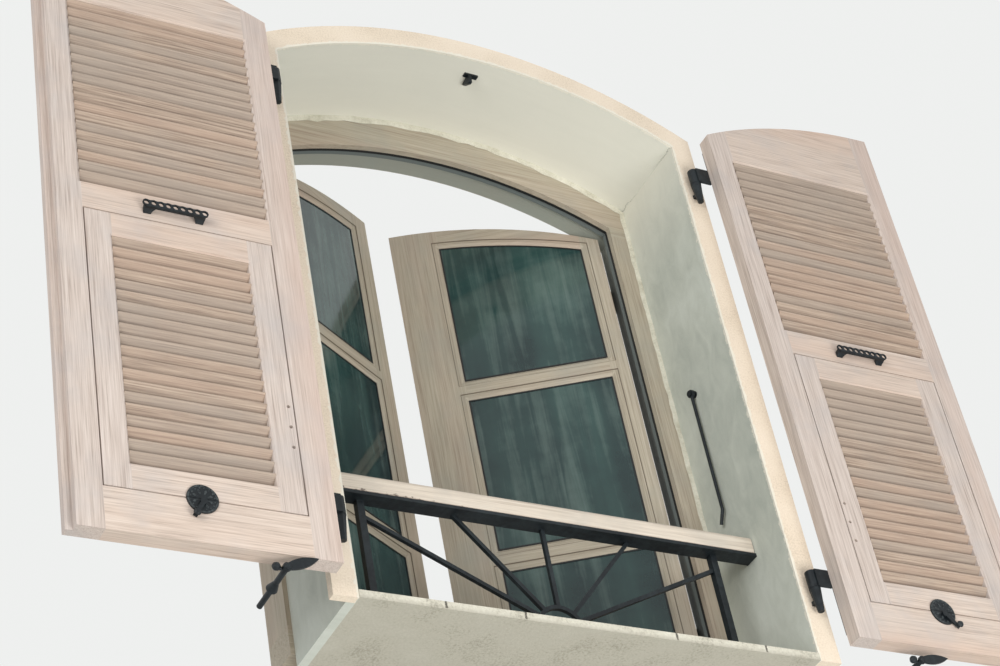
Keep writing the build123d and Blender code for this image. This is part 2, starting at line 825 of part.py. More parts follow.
# Latch lever: knob and arm in front, spindle through the bottom rail, tongue behind.
boss_back = rosette_front - latch_play
arm_back = rosette_front - rosette_relief - latch_play
arm_front = arm_back - latch_arm_thickness
knob_front = arm_front - latch_knob_length
tongue_front = shutter_back + tongue_play
tongue_back = tongue_front + latch_tongue_thickness
latch_turns = {"right": right_latch_turn, "left": left_latch_turn}
for side, latch_x in latch_lines.items():
    turn = latch_turns[side]
    hanging = Location((latch_x, latch_z, 0), (0, 0, turn - 90))
    knob_x = latch_x + latch_length * sin(radians(turn))
    knob_z = latch_z - latch_length * cos(radians(turn))
    with BuildPart() as latch_lever:
        with BuildSketch(facade(boss_back)):
            with Locations((latch_x, latch_z)):
                Circle(latch_boss_radius)
        extrude(amount=boss_back - arm_front)
        with BuildSketch(facade(arm_back)):
            with Locations(hanging):
                Rectangle(latch_length + latch_arm_width / 2, latch_arm_width,
                          align=(Align.MIN, Align.CENTER))
        extrude(amount=latch_arm_thickness)
        with BuildSketch(Plane(origin=(knob_x, 0, knob_z), x_dir=(1, 0, 0), z_dir=(0, 0, 1))):
            with BuildLine():
                Polyline(
                    (0, arm_front + latch_arm_thickness / 2),
                    (latch_neck_radius, arm_front + latch_arm_thickness / 2),
                    (latch_neck_radius, arm_front - 0.15 * latch_knob_length),
                    (latch_knob_radius, arm_front - 0.45 * latch_knob_length),
                    (latch_knob_radius, arm_front - 0.65 * latch_knob_length),
                    (0.6 * latch_knob_radius, knob_front + 0.05 * latch_knob_length),
                    (0, knob_front),
                    close=True,
                )
            make_face()
        revolve(axis=Axis((knob_x, 0, knob_z), (0, 1, 0)))
        with BuildSketch(facade(tongue_back)):
            with Locations((latch_x, latch_z)):
                Circle(latch_spindle_radius)
        extrude(amount=tongue_back - boss_back)
        with BuildSketch(facade(tongue_back)):
            with Locations(hanging):
                Circle(latch_tongue_width / 2)
                Rectangle(latch_tongue_length, latch_tongue_width, align=(Align.MIN, Align.CENTER))
        extrude(amount=latch_tongue_thickness)
    finish_side(latch_lever, "latch_lever", side)

# Strap hinges: a corner plate on the outer face with an arm to the eye
plate_left = shutter_edge + strap_edge_play
with BuildPart() as strap_hinges:
    for eye_z, leg_foot, leg_top, rail_foot in (
        (lower_eye_z, lower_strap_foot, lower_eye_z + eye_length, lower_strap_foot),
        (upper_eye_z, upper_eye_z, upper_strap_top, upper_strap_top - strap_width),
    ):
        with BuildSketch(facade(shutter_back + strap_thickness)):
            add(upright(plate_left, leg_foot, strap_width, leg_top - leg_foot))
            add(upright(plate_left, rail_foot, strap_rail_leg, strap_width))
        extrude(amount=strap_thickness)
        with BuildSketch(Plane.XY.offset(eye_z + eye_lift)):
            with Locations((pintle_x, pintle_y)):
                Circle(eye_radius)
            with Locations((pintle_x, shutter_back)):
                Rectangle(plate_left - pintle_x, strap_arm_thickness, align=(Align.MIN, Align.MIN))
            with Locations((plate_left, shutter_back)):
                Rectangle(strap_width, strap_thickness, align=(Align.MIN, Align.MIN))
            with Locations((pintle_x, pintle_y)):
                Circle(pintle_pin_radius + pin_clearance, mode=Mode.SUBTRACT)
        extrude(amount=eye_length - eye_lift)
finish_pair(strap_hinges, "strap_hinges")

# Bridge handle: a bar of pierced links on two feet that widen towards the wood
handle_z = mid_rail_foot + handle_rise
handle_front = shutter_face - handle_standoff
handle_back = handle_front + handle_bar_thickness
lug_z = handle_z - handle_lug_drop
lug_front = shutter_face - handle_lug_thickness
for side, latch_x in latch_lines.items():
    foot_lines = (latch_x - handle_foot_spacing / 2, latch_x + handle_foot_spacing / 2)
    with BuildPart() as shutter_handle:
        with BuildSketch(facade(handle_back)):
            with Locations((latch_x, handle_z)):
                Rectangle((handle_holes - 1) * handle_hole_pitch, handle_bar_height)
                with GridLocations(handle_hole_pitch, 1, handle_holes, 1):
                    RegularPolygon(handle_link_radius, handle_link_sides)
                    RegularPolygon(handle_hole_radius, handle_hole_sides, mode=Mode.SUBTRACT)
        extrude(amount=handle_bar_thickness)
        for foot_x in foot_lines:
            with BuildSketch(facade(shutter_face)):
                with Locations((foot_x, lug_z)):
                    Rectangle(handle_foot_width, handle_lug_height)
            extrude(amount=handle_lug_thickness)
        for foot_x in foot_lines:
            with BuildSketch(facade(lug_front)):
                with Locations((foot_x, lug_z)):
                    Rectangle(handle_foot_width, handle_lug_height)
            with BuildSketch(facade(handle_back)):
                with Locations((foot_x, handle_z)):
                    Rectangle(handle_foot_tip, handle_foot_tip)
            loft()
    finish_side(shutter_handle, "shutter_handle", side)

# Holdbacks: a stem let into the wall, with a ball beside its head, and a turning blade
blade_back = shutter_face - blade_play
blade_front = blade_back - blade_thickness
with BuildPart() as holdback_stems:
    for stem_x, stem_z in ((left_holdback_x, left_holdback_z), (right_holdback_x, right_holdback_z)):
        with BuildSketch(Plane(origin=(stem_x, 0, stem_z), x_dir=(1, 0, 0), z_dir=(0, 0, 1))):
            with BuildLine():
                Polyline(
                    (0, stem_tail_depth),
                    (stem_radius, stem_tail_depth),
                    (stem_radius, 0),
                    (stem_flare_radius, 0),
                    (stem_radius, -stem_flare_length),
                    (stem_radius, blade_back + blade_play),
                    (stem_pivot_radius, blade_back + blade_play),
                    (stem_pivot_radius, blade_front - blade_play),
                    (stem_head_radius, blade_front - blade_play),
                    (stem_head_radius - stem_head_bevel, blade_front - blade_play - stem_head_thickness),
                    (0, blade_front - blade_play - stem_head_thickness),
                    close=True,
                )
            make_face()
        revolve(axis=Axis((stem_x, 0, stem_z), (0, 1, 0)))
        with BuildSketch(Plane.YZ.offset(stem_x - ball_offset)):
            with Locations((blade_back + blade_play + ball_neck_radius + 1, stem_z)):
                Circle(ball_neck_radius)
        extrude(amount=ball_offset)
        ball_y = blade_back - blade_play
        with BuildSketch(Plane(origin=(stem_x - ball_offset, ball_y, stem_z), x_dir=(1, 0, 0), z_dir=(0, 0, 1))):
            with BuildLine():
                Polyline(
                    (0, ball_radius),
                    (0.68 * ball_radius, 0.72 * ball_radius),
                    (ball_radius, 0.22 * ball_radius),
                    (ball_radius, -0.22 * ball_radius),
                    (0.68 * ball_radius, -0.72 * ball_radius),
                    (0, -ball_radius),
                    close=True,
                )
            make_face()
        revolve(axis=Axis((stem_x - ball_offset, 0, stem_z), (0, 1, 0)))
finish(holdback_stems, "holdback_stems")

for side, hub_x, hub_z, tilt in (
    ("left", left_holdback_x, left_holdback_z, left_blade_tilt),
    ("right", right_holdback_x, right_holdback_z, right_blade_tilt),
):
    with BuildSketch() as blade_outline:
        with BuildLine():
            ThreePointArc((0, blade_neck), (0.45 * blade_length, blade_width / 2), (blade_length, 0))
            mirror(about=Plane.XZ)
            Line((0, blade_neck), (0, -blade_neck))
        make_face()
        Circle(blade_hub_radius)
        Circle(stem_pivot_radius + pin_clearance, mode=Mode.SUBTRACT)
    with BuildPart() as blade:
        with BuildSketch(facade(blade_back)):
            with Locations(Location((hub_x, hub_z, 0), (0, 0, tilt))):
                add(blade_outline.sketch)
        extrude(amount=blade_thickness)
    finish(blade, f"holdback_blade_{side}")

# Casement sashes, drawn in the plane of the leaf. Local x runs from the hinge axis to the
# meeting edge, local y is up, local z points into the room. The left one is mirrored.
sash_outer = stop_face + seal_thickness + sash_seal_gap
sash_axis_x = half_rebate
sash_axis_y = sash_outer + sash_thickness + sash_axis_standoff
sash_foot = rebate_foot + sash_foot_play
sash_crown = rebate_crown - sash_head_play
sash_inner_level = -sash_axis_standoff
sash_outer_level = sash_inner_level - sash_thickness
hinge_edge = sash_edge_play
hinge_sight = hinge_edge + hinge_stile_width
light_crown = sash_crown - light_crown_drop
bottom_sight = sash_foot + sash_bottom_rail_height
pane_outer_level = sash_outer_level + outer_bead_depth
pane_inner_level = pane_outer_level + pane_thickness
inner_bead_level = sash_inner_level - inner_bead_depth


def sash_plane(opening, level):
    # Plane of the leaf turned inwards by the opening angle, at a level through its thickness.
    turn = radians(opening)
    return Plane(
        origin=(sash_axis_x, sash_axis_y, 0),
        x_dir=(-cos(turn), sin(turn), 0),
        z_dir=(sin(turn), cos(turn), 0),
    ).offset(level)


def under_arc(crown, radius):
    # Everything below a segmental head centred on the window.
    with BuildSketch() as outline:
        with Locations((sash_axis_x, crown - radius)):
            Circle(radius)
            Rectangle(2 * radius, radius, align=(Align.CENTER, Align.MAX))
    return outline.sketch


def light(index, sight, grow):
    # One of the three lights, its outline moved outwards by an even amount.
    feet = (upper_bar_foot + glazing_bar_height, lower_bar_foot + glazing_bar_height, bottom_sight)
    heads = (light_crown, upper_bar_foot, lower_bar_foot)
    with BuildSketch() as outline:
        add(upright(hinge_sight - grow, feet[index] - grow,
                    sight - hinge_sight + 2 * grow, heads[index] - feet[index] + 2 * grow))
        if index == 0:
            add(under_arc(light_crown + grow, light_radius + grow), mode=Mode.INTERSECT)
    return outline.sketch


outer_bead_width = outer_bead_depth * tan(radians(outer_bead_angle))
for side, opening, width, stile_width in (
    ("right", right_sash_open, right_sash_width, right_meeting_stile_width),
    ("left", left_sash_open, left_sash_width, left_meeting_stile_width),
):
    mirrored = side == "left"
    export = finish_mirrored if mirrored else finish
    sash_edge = hinge_edge + width
    sight = sash_edge - stile_width
    seated = sight + pane_seat

    with BuildPart() as panes:
        with BuildSketch(sash_plane(opening, pane_outer_level)):
            for index in range(3):
                add(light(index, sight, pane_seat))
        extrude(amount=pane_thickness)
    export(panes, f"sash_panes_{side}")

    # Mouldings round the lights, on the street side and on the room side
    with BuildPart() as mouldings:
        for index in range(3):
            with BuildSketch(sash_plane(opening, sash_outer_level)):
                add(light(index, sight, outer_bead_width))
            extrude(amount=outer_bead_depth, taper=outer_bead_angle)
            with BuildSketch(sash_plane(opening, sash_outer_level)):
                add(light(index, sight, outer_bead_width + bead_step_width))
            extrude(amount=bead_step_depth)
        for index in range(3):
            with BuildSketch(sash_plane(opening, inner_bead_level)):
                add(light(index, sight, 0))
            extrude(amount=inner_bead_depth, taper=-inner_bead_angle)
            with BuildSketch(sash_plane(opening, pane_outer_level)):
                add(light(index, sight, 0))
            extrude(amount=inner_bead_level - pane_outer_level)

    with BuildPart() as sash_hinge_stile:
        with BuildSketch(sash_plane(opening, sash_outer_level)):
            add(upright(hinge_edge, sash_foot, hinge_stile_width, sash_crown - sash_foot))
            add(under_arc(sash_crown, reveal_radius), mode=Mode.INTERSECT)
        extrude(amount=sash_thickness)
        add(mouldings.part, mode=Mode.SUBTRACT)
        add(panes.part, mode=Mode.SUBTRACT)
    export(sash_hinge_stile, f"sash_hinge_stile_{side}")

    with BuildPart() as sash_meeting_stile:
        with BuildSketch(sash_plane(opening, sash_outer_level)):
            add(upright(sight, sash_foot, stile_width, sash_crown - sash_foot))
            add(under_arc(sash_crown, reveal_radius), mode=Mode.INTERSECT)
        extrude(amount=sash_thickness)
        if mirrored:
            with BuildSketch(sash_plane(opening, sash_inner_level - lap_thickness)):
                add(upright(sash_edge - 1, sash_foot, lap_reach + 1, sash_crown - sash_foot))
                add(under_arc(sash_crown, reveal_radius), mode=Mode.INTERSECT)
            extrude(amount=lap_thickness)
        else:
            lap_end = hinge_edge + left_sash_width + lap_reach + lap_play
            recess_start = 2 * sash_axis_x - lap_end
            recess_depth = lap_thickness + lap_play
            with BuildSketch(sash_plane(opening, sash_inner_level - recess_depth)):
                add(upright(recess_start, sash_foot, sash_edge - recess_start, sash_crown - sash_foot))
            extrude(amount=recess_depth, mode=Mode.SUBTRACT)
        add(mouldings.part, mode=Mode.SUBTRACT)
        add(panes.part, mode=Mode.SUBTRACT)
    export(sash_meeting_stile, f"sash_meeting_stile_{side}")

    with BuildPart() as sash_rails:
        with BuildSketch(sash_plane(opening, sash_outer_level)):
            rail_width = sight - hinge_sight
            add(upright(hinge_sight, sash_foot, rail_width, sash_bottom_rail_height))
            add(upright(hinge_sight, lower_bar_foot, rail_width, glazing_bar_height))
            add(upright(hinge_sight, upper_bar_foot, rail_width, glazing_bar_height))
            add(upright(hinge_sight, upper_bar_foot + 2 * glazing_bar_height, rail_width, sash_crown))
            add(under_arc(sash_crown, reveal_radius), mode=Mode.INTERSECT)
        extrude(amount=sash_thickness)
        add(mouldings.part, mode=Mode.SUBTRACT)
        add(panes.part, mode=Mode.SUBTRACT)
    export(sash_rails, f"sash_rails_{side}")

    # Upper knuckle and leaf of each hinge, screwed to the inner face
    with BuildPart() as sash_hinge_leaves:
        for hinge_z in sash_hinge_heights:
            turn = radians(opening)
            with BuildSketch(Plane(origin=(sash_axis_x, sash_axis_y, hinge_z + eye_lift),
                                   x_dir=(-cos(turn), sin(turn), 0), z_dir=(0, 0, 1))):
                Circle(sash_knuckle_radius)
                with Locations((0, -sash_inner_level)):
                    Rectangle(sash_leaf_width, sash_leaf_thickness, align=(Align.MIN, Align.MAX))
                Circle(sash_pin_radius + pin_clearance, mode=Mode.SUBTRACT)
            extrude(amount=sash_knuckle_length)
    export(sash_hinge_leaves, f"sash_hinge_leaves_{side}")

# Lower knuckle, pin and bracket of each sash hinge, screwed to the frame
with BuildPart() as sash_hinge_pins:
    for hinge_z in sash_hinge_heights:
        with BuildSketch(Plane.XY.offset(hinge_z - sash_knuckle_length)):
            with Locations((sash_axis_x, sash_axis_y)):
                Circle(sash_knuckle_radius)
            add(upright(sash_axis_x, frame_back, 2 * sash_leaf_thickness, sash_axis_y - frame_back))
            add(upright(sash_axis_x, frame_back, sash_leaf_width, sash_leaf_thickness))
        extrude(amount=sash_knuckle_length)
        with BuildSketch(Plane.XY.offset(hinge_z)):
            with Locations((sash_axis_x, sash_axis_y)):
                Circle(sash_pin_radius)
        extrude(amount=sash_knuckle_length - 2)
    mirror(about=Plane.YZ)
finish(sash_hinge_pins, "sash_hinge_pins")

# Turn handle on the meeting stile of the left sash, lying towards its hinges when open
handle_x = hinge_edge + left_sash_width - left_meeting_stile_width / 2
with BuildPart() as handle_rose:
    with BuildSketch(sash_plane(left_sash_open, sash_inner_level)):
        with Locations((handle_x, handle_height)):
            SlotOverall(rose_height, rose_width, rotation=90)
            Circle(neck_radius + pin_clearance, mode=Mode.SUBTRACT)
    extrude(amount=rose_thickness)
finish_mirrored(handle_rose, "sash_handle_rose")

with BuildPart() as handle_lever:
    with BuildSketch(sash_plane(left_sash_open, sash_inner_level + neck_foot_play)):
        with Locations((handle_x, handle_height)):
            Circle(neck_radius)
    extrude(amount=neck_length)
    with BuildSketch(sash_plane(left_sash_open, sash_inner_level + neck_length - grip_thickness)):
        with Locations((handle_x - grip_length / 2 + grip_width / 2, handle_height)):
            SlotOverall(grip_length, grip_width)
    extrude(amount=grip_thickness + neck_foot_play)
finish_mirrored(handle_lever, "sash_handle_lever")
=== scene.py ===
from math import atan2, cos, pi, radians, sin, sqrt, tan

import bpy
from mathutils import Matrix, Vector


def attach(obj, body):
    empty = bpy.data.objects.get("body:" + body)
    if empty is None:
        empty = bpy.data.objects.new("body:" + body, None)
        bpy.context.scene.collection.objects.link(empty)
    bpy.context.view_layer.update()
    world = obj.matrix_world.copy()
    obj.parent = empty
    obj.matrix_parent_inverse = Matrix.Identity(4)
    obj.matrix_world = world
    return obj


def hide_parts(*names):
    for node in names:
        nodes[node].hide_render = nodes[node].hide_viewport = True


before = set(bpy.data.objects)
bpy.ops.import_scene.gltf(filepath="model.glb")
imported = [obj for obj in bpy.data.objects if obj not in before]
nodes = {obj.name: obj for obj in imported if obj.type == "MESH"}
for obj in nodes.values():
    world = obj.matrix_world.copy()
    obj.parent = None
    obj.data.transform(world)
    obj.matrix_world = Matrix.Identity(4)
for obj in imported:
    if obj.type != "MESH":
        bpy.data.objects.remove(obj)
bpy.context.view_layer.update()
bpy.ops.object.select_all(action="DESELECT")
print("frame loaded,", len(nodes), "nodes")


def tone(red, green, blue):
    # a colour given from 0 to 255, made linear
    return tuple(c / 255 / 12.92 if c < 11 else ((c / 255 + 0.055) / 1.055) ** 2.4
                 for c in (red, green, blue)) + (1.0,)


# a shader socket that does maths in plain expressions
class Wire:
    def __init__(self, sheet, socket):
        self.sheet = sheet
        self.socket = socket

    def run(self, operation, *values):
        return self.sheet.node("ShaderNodeMath", {"operation": operation}, dict(enumerate(values)))

    def __add__(self, other):
        return self.run("ADD", self, other)

    def __radd__(self, other):
        return self.run("ADD", other, self)

    def __sub__(self, other):
        return self.run("SUBTRACT", self, other)

    def __rsub__(self, other):
        return self.run("SUBTRACT", other, self)

    def __mul__(self, other):
        return self.run("MULTIPLY", self, other)

    def __truediv__(self, other):
        return self.run("DIVIDE", self, other)

    def __gt__(self, other):
        return self.run("GREATER_THAN", self, other)

    def __lt__(self, other):
        return self.run("LESS_THAN", self, other)

    def floor(self):
        return self.run("FLOOR", self)

    def size(self):
        return self.run("ABSOLUTE", self)

    def larger(self, other):
        return self.run("MAXIMUM", self, other)

    def smaller(self, other):
        return self.run("MINIMUM", self, other)


# a new material, or a new world, and its node tree
class Sheet:
    def __init__(self, name, store=bpy.data.materials):
        self.owner = store.new(name)
        self.owner.use_nodes = True
        self.tree = self.owner.node_tree
        self.tree.nodes.clear()

    def node(self, kind, settings=None, values=None, out=0):
        made = self.tree.nodes.new(kind)
        for key, value in (settings or {}).items():
            if key == "stops":
                self.setStops(made.color_ramp, value)
            else:
                setattr(made, key, value)
        for key, value in (values or {}).items():
            if isinstance(value, Wire):
                self.tree.links.new(value.socket, made.inputs[key])
            else:
                made.inputs[key].default_value = value
        return Wire(self, made.outputs[out]) if made.outputs else None

    def setStops(self, ramp, stops):
        while len(ramp.elements) < len(stops):
            ramp.elements.new(0.5)
        for element, (place, colour) in zip(ramp.elements, stops):
            element.position = place
            element.color = colour

    def at(self, axis):
        point = self.node("ShaderNodeTexCoord", out="Object")
        return self.node("ShaderNodeSeparateXYZ", {}, {0: point}, out=axis)

    def place(self, turn=0.0, scale=(1, 1, 1), shift=(0, 0, 0)):
        point = self.node("ShaderNodeTexCoord", out="Object")
        if turn or any(shift):
            values = {"Vector": point, "Rotation": (0, 0, turn), "Location": shift}
            point = self.node("ShaderNodeMapping", {}, values)
        return self.node("ShaderNodeMapping", {}, {"Vector": point, "Scale": scale})

    def noise(self, scale, detail=4.0, rough=0.55, warp=0.0, point=None):
        values = {"Vector": point or self.place(), "Scale": scale, "Detail": detail, "Roughness": rough,
                  "Distortion": warp}
        return self.node("ShaderNodeTexNoise", {}, values)

    def mix(self, amount, first, second):
        # a colour is a wire, or red, green and blue from 0 to 255
        first, second = (c if isinstance(c, Wire) else tone(*c) for c in (first, second))
        return self.node("ShaderNodeMix", {"data_type": "RGBA"}, {0: amount, 6: first, 7: second}, out=2)

    def ramp(self, amount, places, *colours):
        stops = [(place, tone(*colour)) for place, colour in zip(places, colours)]
        return self.node("ShaderNodeValToRGB", {"stops": stops}, {0: amount})

    def fade(self, amount, start, end):
        # 0 at the first value and 1 at the second, whichever is larger
        return self.node("ShaderNodeMapRange", {"clamp": True}, {0: amount, 1: start, 2: end})

    def bump(self, height, strength, distance):
        return self.node("ShaderNodeBump", {}, {"Height": height, "Strength": strength, "Distance": distance})

    def finish(self, **sockets):
        values = {key.replace("_", " "): value for key, value in sockets.items()}
        surface = self.node("ShaderNodeBsdfPrincipled", {}, values)
        self.node("ShaderNodeOutputMaterial", {}, {"Surface": surface})
        return self.owner


sides = {"right": 1, "left": -1}

# the arched opening, in metres
opening = {"half": 0.535, "crown": 1.618, "radius": 1.1, "springing": 1.4795, "depth": 0.254, "foot": 0.014}


def aroundArris(sheet):
    # how far outside the opening's outline a point lies, less than 0 inside it
    beside = sheet.at("X").size() - opening["half"]
    rise = sheet.at("Z") - (opening["crown"] - opening["radius"])
    spoke = sheet.node("ShaderNodeCombineXYZ", {}, {0: sheet.at("X"), 1: rise})
    reach = sheet.node("ShaderNodeVectorMath", {"operation": "LENGTH"}, {0: spoke}, out="Value")
    return beside.larger(reach - opening["radius"])


# wood: five looks, each with the grain upright or level
limewash = {
    "pale": (214, 201, 191), "mid": (194, 179, 168), "dark": (148, 130, 118),
    "blush": (200, 171, 154), "grey": (178, 172, 169), "rough": 0.74, "fine": 0.62, "boards": 0.5,
}
limewashRail = {**limewash, "pale": (219, 203, 189), "mid": (200, 182, 167), "blush": (206, 175, 153)}
slatWood = {
    "pale": (190, 170, 151), "mid": (161, 141, 124), "dark": (108, 91, 79),
    "blush": (182, 154, 134), "grey": (158, 146, 134), "rough": 0.72, "fine": 0.75, "boards": 0.22,
}
oiledWood = {
    "pale": (190, 180, 160), "mid": (170, 159, 140), "dark": (132, 117, 98),
    "blush": (184, 159, 141), "grey": (158, 155, 143), "rough": 0.6, "fine": 0.5, "boards": 0.6,
}
railWood = {
    "pale": (226, 214, 197), "mid": (206, 193, 176), "dark": (162, 146, 128),
    "blush": (208, 185, 164), "grey": (184, 178, 166), "rough": 0.68, "fine": 0.5, "boards": 0.4,
}
grain = {
    "along": 1.5, "across": 52.0, "fineAlong": 5.0, "fineAcross": 230.0,
    "boardAlong": 0.25, "boardAcross": 7.0, "stops": (0.28, 0.47, 0.66),
    "patchShift": (3.1, 1.7, 0.4), "patchScale": 5.5, "greyFade": (0.48, 0.70), "greyShare": 0.55,
    "blushFade": (0.48, 0.72), "hairRelief": 0.6, "fibreRelief": 0.4, "roughSwing": 0.2,
}


def woodPatches(sheet):
    point = sheet.place(shift=grain["patchShift"])
    return sheet.noise(grain["patchScale"], detail=4, rough=0.6, point=point)


def woodGrain(sheet, look, upright, turn):
    # fibres run along z in an upright piece and along x in a level one
    def stretched(along, across):
        scale = (across, across, along) if upright else (along, across, across)
        return sheet.place(turn=turn, scale=scale)

    strands = stretched(grain["along"], grain["across"])
    fibres = sheet.noise(scale=2.4, detail=7, rough=0.68, warp=0.3, point=strands)
    strands = stretched(grain["fineAlong"], grain["fineAcross"])
    hairs = sheet.noise(scale=1.6, detail=3, rough=0.6, point=strands)
    strands = stretched(grain["boardAlong"], grain["boardAcross"])
    boards = sheet.noise(scale=1.1, detail=2, warp=0.4, point=strands)
    body = fibres * (1 - look["fine"]) + hairs * look["fine"]
    colour = sheet.ramp(body, grain["stops"], look["dark"], look["mid"], look["pale"])
    grey = sheet.fade(woodPatches(sheet), *grain["greyFade"]) * grain["greyShare"]
    colour = sheet.mix(grey, colour, look["grey"])
    blush = sheet.fade(boards, *grain["blushFade"]) * look["boards"]
    colour = sheet.mix(blush, colour, look["blush"])
    return colour, fibres, hairs


# rows of slats: where they stand in the shutter, and how their wear, grime, painted shade and painted
# highlight are spread
slatRows = {
    "middle": -0.0525, "front": -0.069, "back": -0.036, "tilt": 46.0, "sideSeed": 7.0,
    "greyOver": 0.6, "greyShare": 0.5, "blushUnder": 0.3, "blushShare": 0.3,
    "grimeIn": 0.008, "grimeShare": 0.5, "wornEdge": 0.0008, "wornShare": 0.25,
}
upperRows = {**slatRows, "foot": 0.858, "pitch": 0.537 / 19}
flapRows = {**slatRows, "foot": 0.1585, "pitch": 0.5625 / 20}


def slatWearAndPaintedLight(sheet, colour, look, slats):
    # every slat is cut from another board, is painted pale at its outer edge as wear and painted highlight,
    # and is darker half way in with grime and painted shade
    depth = sheet.at("Y")
    row = sheet.at("Z") + (depth - slats["middle"]) * tan(radians(slats["tilt"])) - slats["foot"]
    row = (row / slats["pitch"]).floor()
    seed = sheet.node("ShaderNodeCombineXYZ", {}, {0: row, 1: (sheet.at("X") > 0) * slats["sideSeed"]})
    board = sheet.node("ShaderNodeTexWhiteNoise", {"noise_dimensions": "2D"}, {"Vector": seed}, out="Value")
    greyer = (board > slats["greyOver"]) * board * slats["greyShare"]
    colour = sheet.mix(greyer, colour, look["grey"])
    colour = sheet.mix((board < slats["blushUnder"]) * slats["blushShare"], colour, look["blush"])
    # painted shade with grime: darker from the slat's front towards its middle, between the slats
    shadeAndGrime = sheet.fade(depth, slats["front"] + slats["grimeIn"], slats["middle"])
    shadeAndGrime = shadeAndGrime * sheet.fade(depth, slats["back"], slats["middle"])
    colour = sheet.mix(shadeAndGrime * slats["grimeShare"], colour, look["dark"])
    # painted highlight with wear: each slat's outer edge is painted paler
    wearAndHighlight = depth < slats["front"] + slats["wornEdge"]
    return sheet.mix(wearAndHighlight * slats["wornShare"], colour, look["pale"])


# the lights of a sash, with u from the hinge axis to the meeting edge, and the bead round each light
lights = {
    "axis": (0.508, 0.354), "hinge": 0.050, "sight": {"right": 0.405, "left": 0.416},
    "feet": (1.040, 0.538, 0.165), "heads": (1.478, 0.980, 0.478), "crownRadius": 1.3,
    "quirk": 0.0166, "quirkHalf": 0.0012, "quirkTone": (96, 84, 70), "quirkShare": 0.72,
    "ridge": 0.0108, "ridgeHalf": 0.0006, "ridgeTone": (112, 98, 82), "ridgeShare": 0.3,
}
sashTurns = {"right": radians(30.8), "left": radians(-29.5)}


def beadShadeLines(sheet, colour, side):
    # dirt and painted shade in the groove round each glazing bead, and a thin line of dirt and painted shade
    # on its ridge
    turn = abs(sashTurns[side])
    u = (lights["axis"][0] - sheet.at("X").size()) * cos(turn)
    u = u + (sheet.at("Y") - lights["axis"][1]) * sin(turn)
    half = (lights["sight"][side] - lights["hinge"]) / 2
    across = (u - (lights["hinge"] + half)).size() - half
    fromCrown = u - lights["axis"][0]
    drop = fromCrown * fromCrown / (2 * lights["crownRadius"])
    nearest = None
    for number, (foot, head) in enumerate(zip(lights["feet"], lights["heads"])):
        above = sheet.at("Z") - head
        if number == 0:  # only the top light has an arched head
            above = above + drop
        away = across.larger(above).larger(foot - sheet.at("Z"))
        nearest = away if nearest is None else nearest.smaller(away)
    # painted shade with dirt: dark hairlines where the bead steps down
    grooveShade = (nearest - lights["quirk"]).size() < lights["quirkHalf"]
    ridge = (nearest - lights["ridge"]).size() < lights["ridgeHalf"]
    colour = sheet.mix(grooveShade * lights["quirkShare"], colour, lights["quirkTone"])
    return sheet.mix(ridge * lights["ridgeShare"], colour, lights["ridgeTone"])


# the rebate's grime and painted shade: darkest low on the jambs, lighter up on the head
rebateShadeLook = {
    "edge": 0.02, "from": 0.2835, "to": 0.3460, "low": (92, 100, 100), "high": (150, 156, 147),
    "lowZ": 1.25, "highZ": 1.40, "share": 0.68, "patchShare": 0.3,
}


def rebateShadeAndGrime(sheet, colour, rebate):
    # the rebate behind the seal is painted dull grey with grime and painted shade, and the painted shade is
    # darker down the jambs than on the head
    depth = sheet.at("Y")
    inside = (aroundArris(sheet) < -rebate["edge"]) * (depth > rebate["from"]) * (depth < rebate["to"])
    upper = sheet.fade(sheet.at("Z"), rebate["lowZ"], rebate["highZ"])
    shadeAndGrime = sheet.mix(upper, rebate["low"], rebate["high"])
    thick = woodPatches(sheet) * rebate["patchShare"] + rebate["share"]
    return sheet.mix(inside * thick, colour, shadeAndGrime)


railChips = {
    "scale": 70.0, "foot": 0.324, "top": 0.336, "from": -0.12, "to": -0.34,
    "bare": 0.0035, "bareTone": (140, 112, 98), "bareShare": 0.55,
    "pull": 0.26, "over": 0.78, "tone": (88, 74, 66), "share": 0.8,
}


def edgeChips(sheet, colour, chips):
    # the lower front edge is darker towards the bottom, and chipped near one end
    flakes = sheet.noise(chips["scale"], detail=3, rough=0.7, point=sheet.place(scale=(1, 1, 2.2)))
    near = sheet.fade(sheet.at("Z"), chips["top"], chips["foot"])
    near = near * sheet.fade(sheet.at("X"), chips["from"], chips["to"])
    # darker along the lowest few millimetres of the rail
    bare = sheet.fade(sheet.at("Z"), chips["foot"] + chips["bare"], chips["foot"])
    colour = sheet.mix(bare * chips["bareShare"], colour, chips["bareTone"])
    chipped = ((flakes + near * chips["pull"]) > chips["over"]) * chips["share"]
    return sheet.mix(chipped, colour, chips["tone"]), chipped


def woodFinish(name, look, upright, turn=0.0, slats=None, beads=None, rebate=None, chips=None):
    sheet = Sheet(name)
    colour, fibres, hairs = woodGrain(sheet, look, upright, turn)
    height = hairs * grain["hairRelief"] + fibres * grain["fibreRelief"]
    if slats:
        colour = slatWearAndPaintedLight(sheet, colour, look, slats)
    if beads:
        colour = beadShadeLines(sheet, colour, beads)
    if rebate:
        colour = rebateShadeAndGrime(sheet, colour, rebate)
    if chips:
        colour, chipped = edgeChips(sheet, colour, chips)
        height = height - chipped
    normal = sheet.bump(height, strength=0.4, distance=0.0012)
    rough = (hairs - 0.5) * grain["roughSwing"] + look["rough"]
    return sheet.finish(Base_Color=colour, Roughness=rough, Normal=normal)


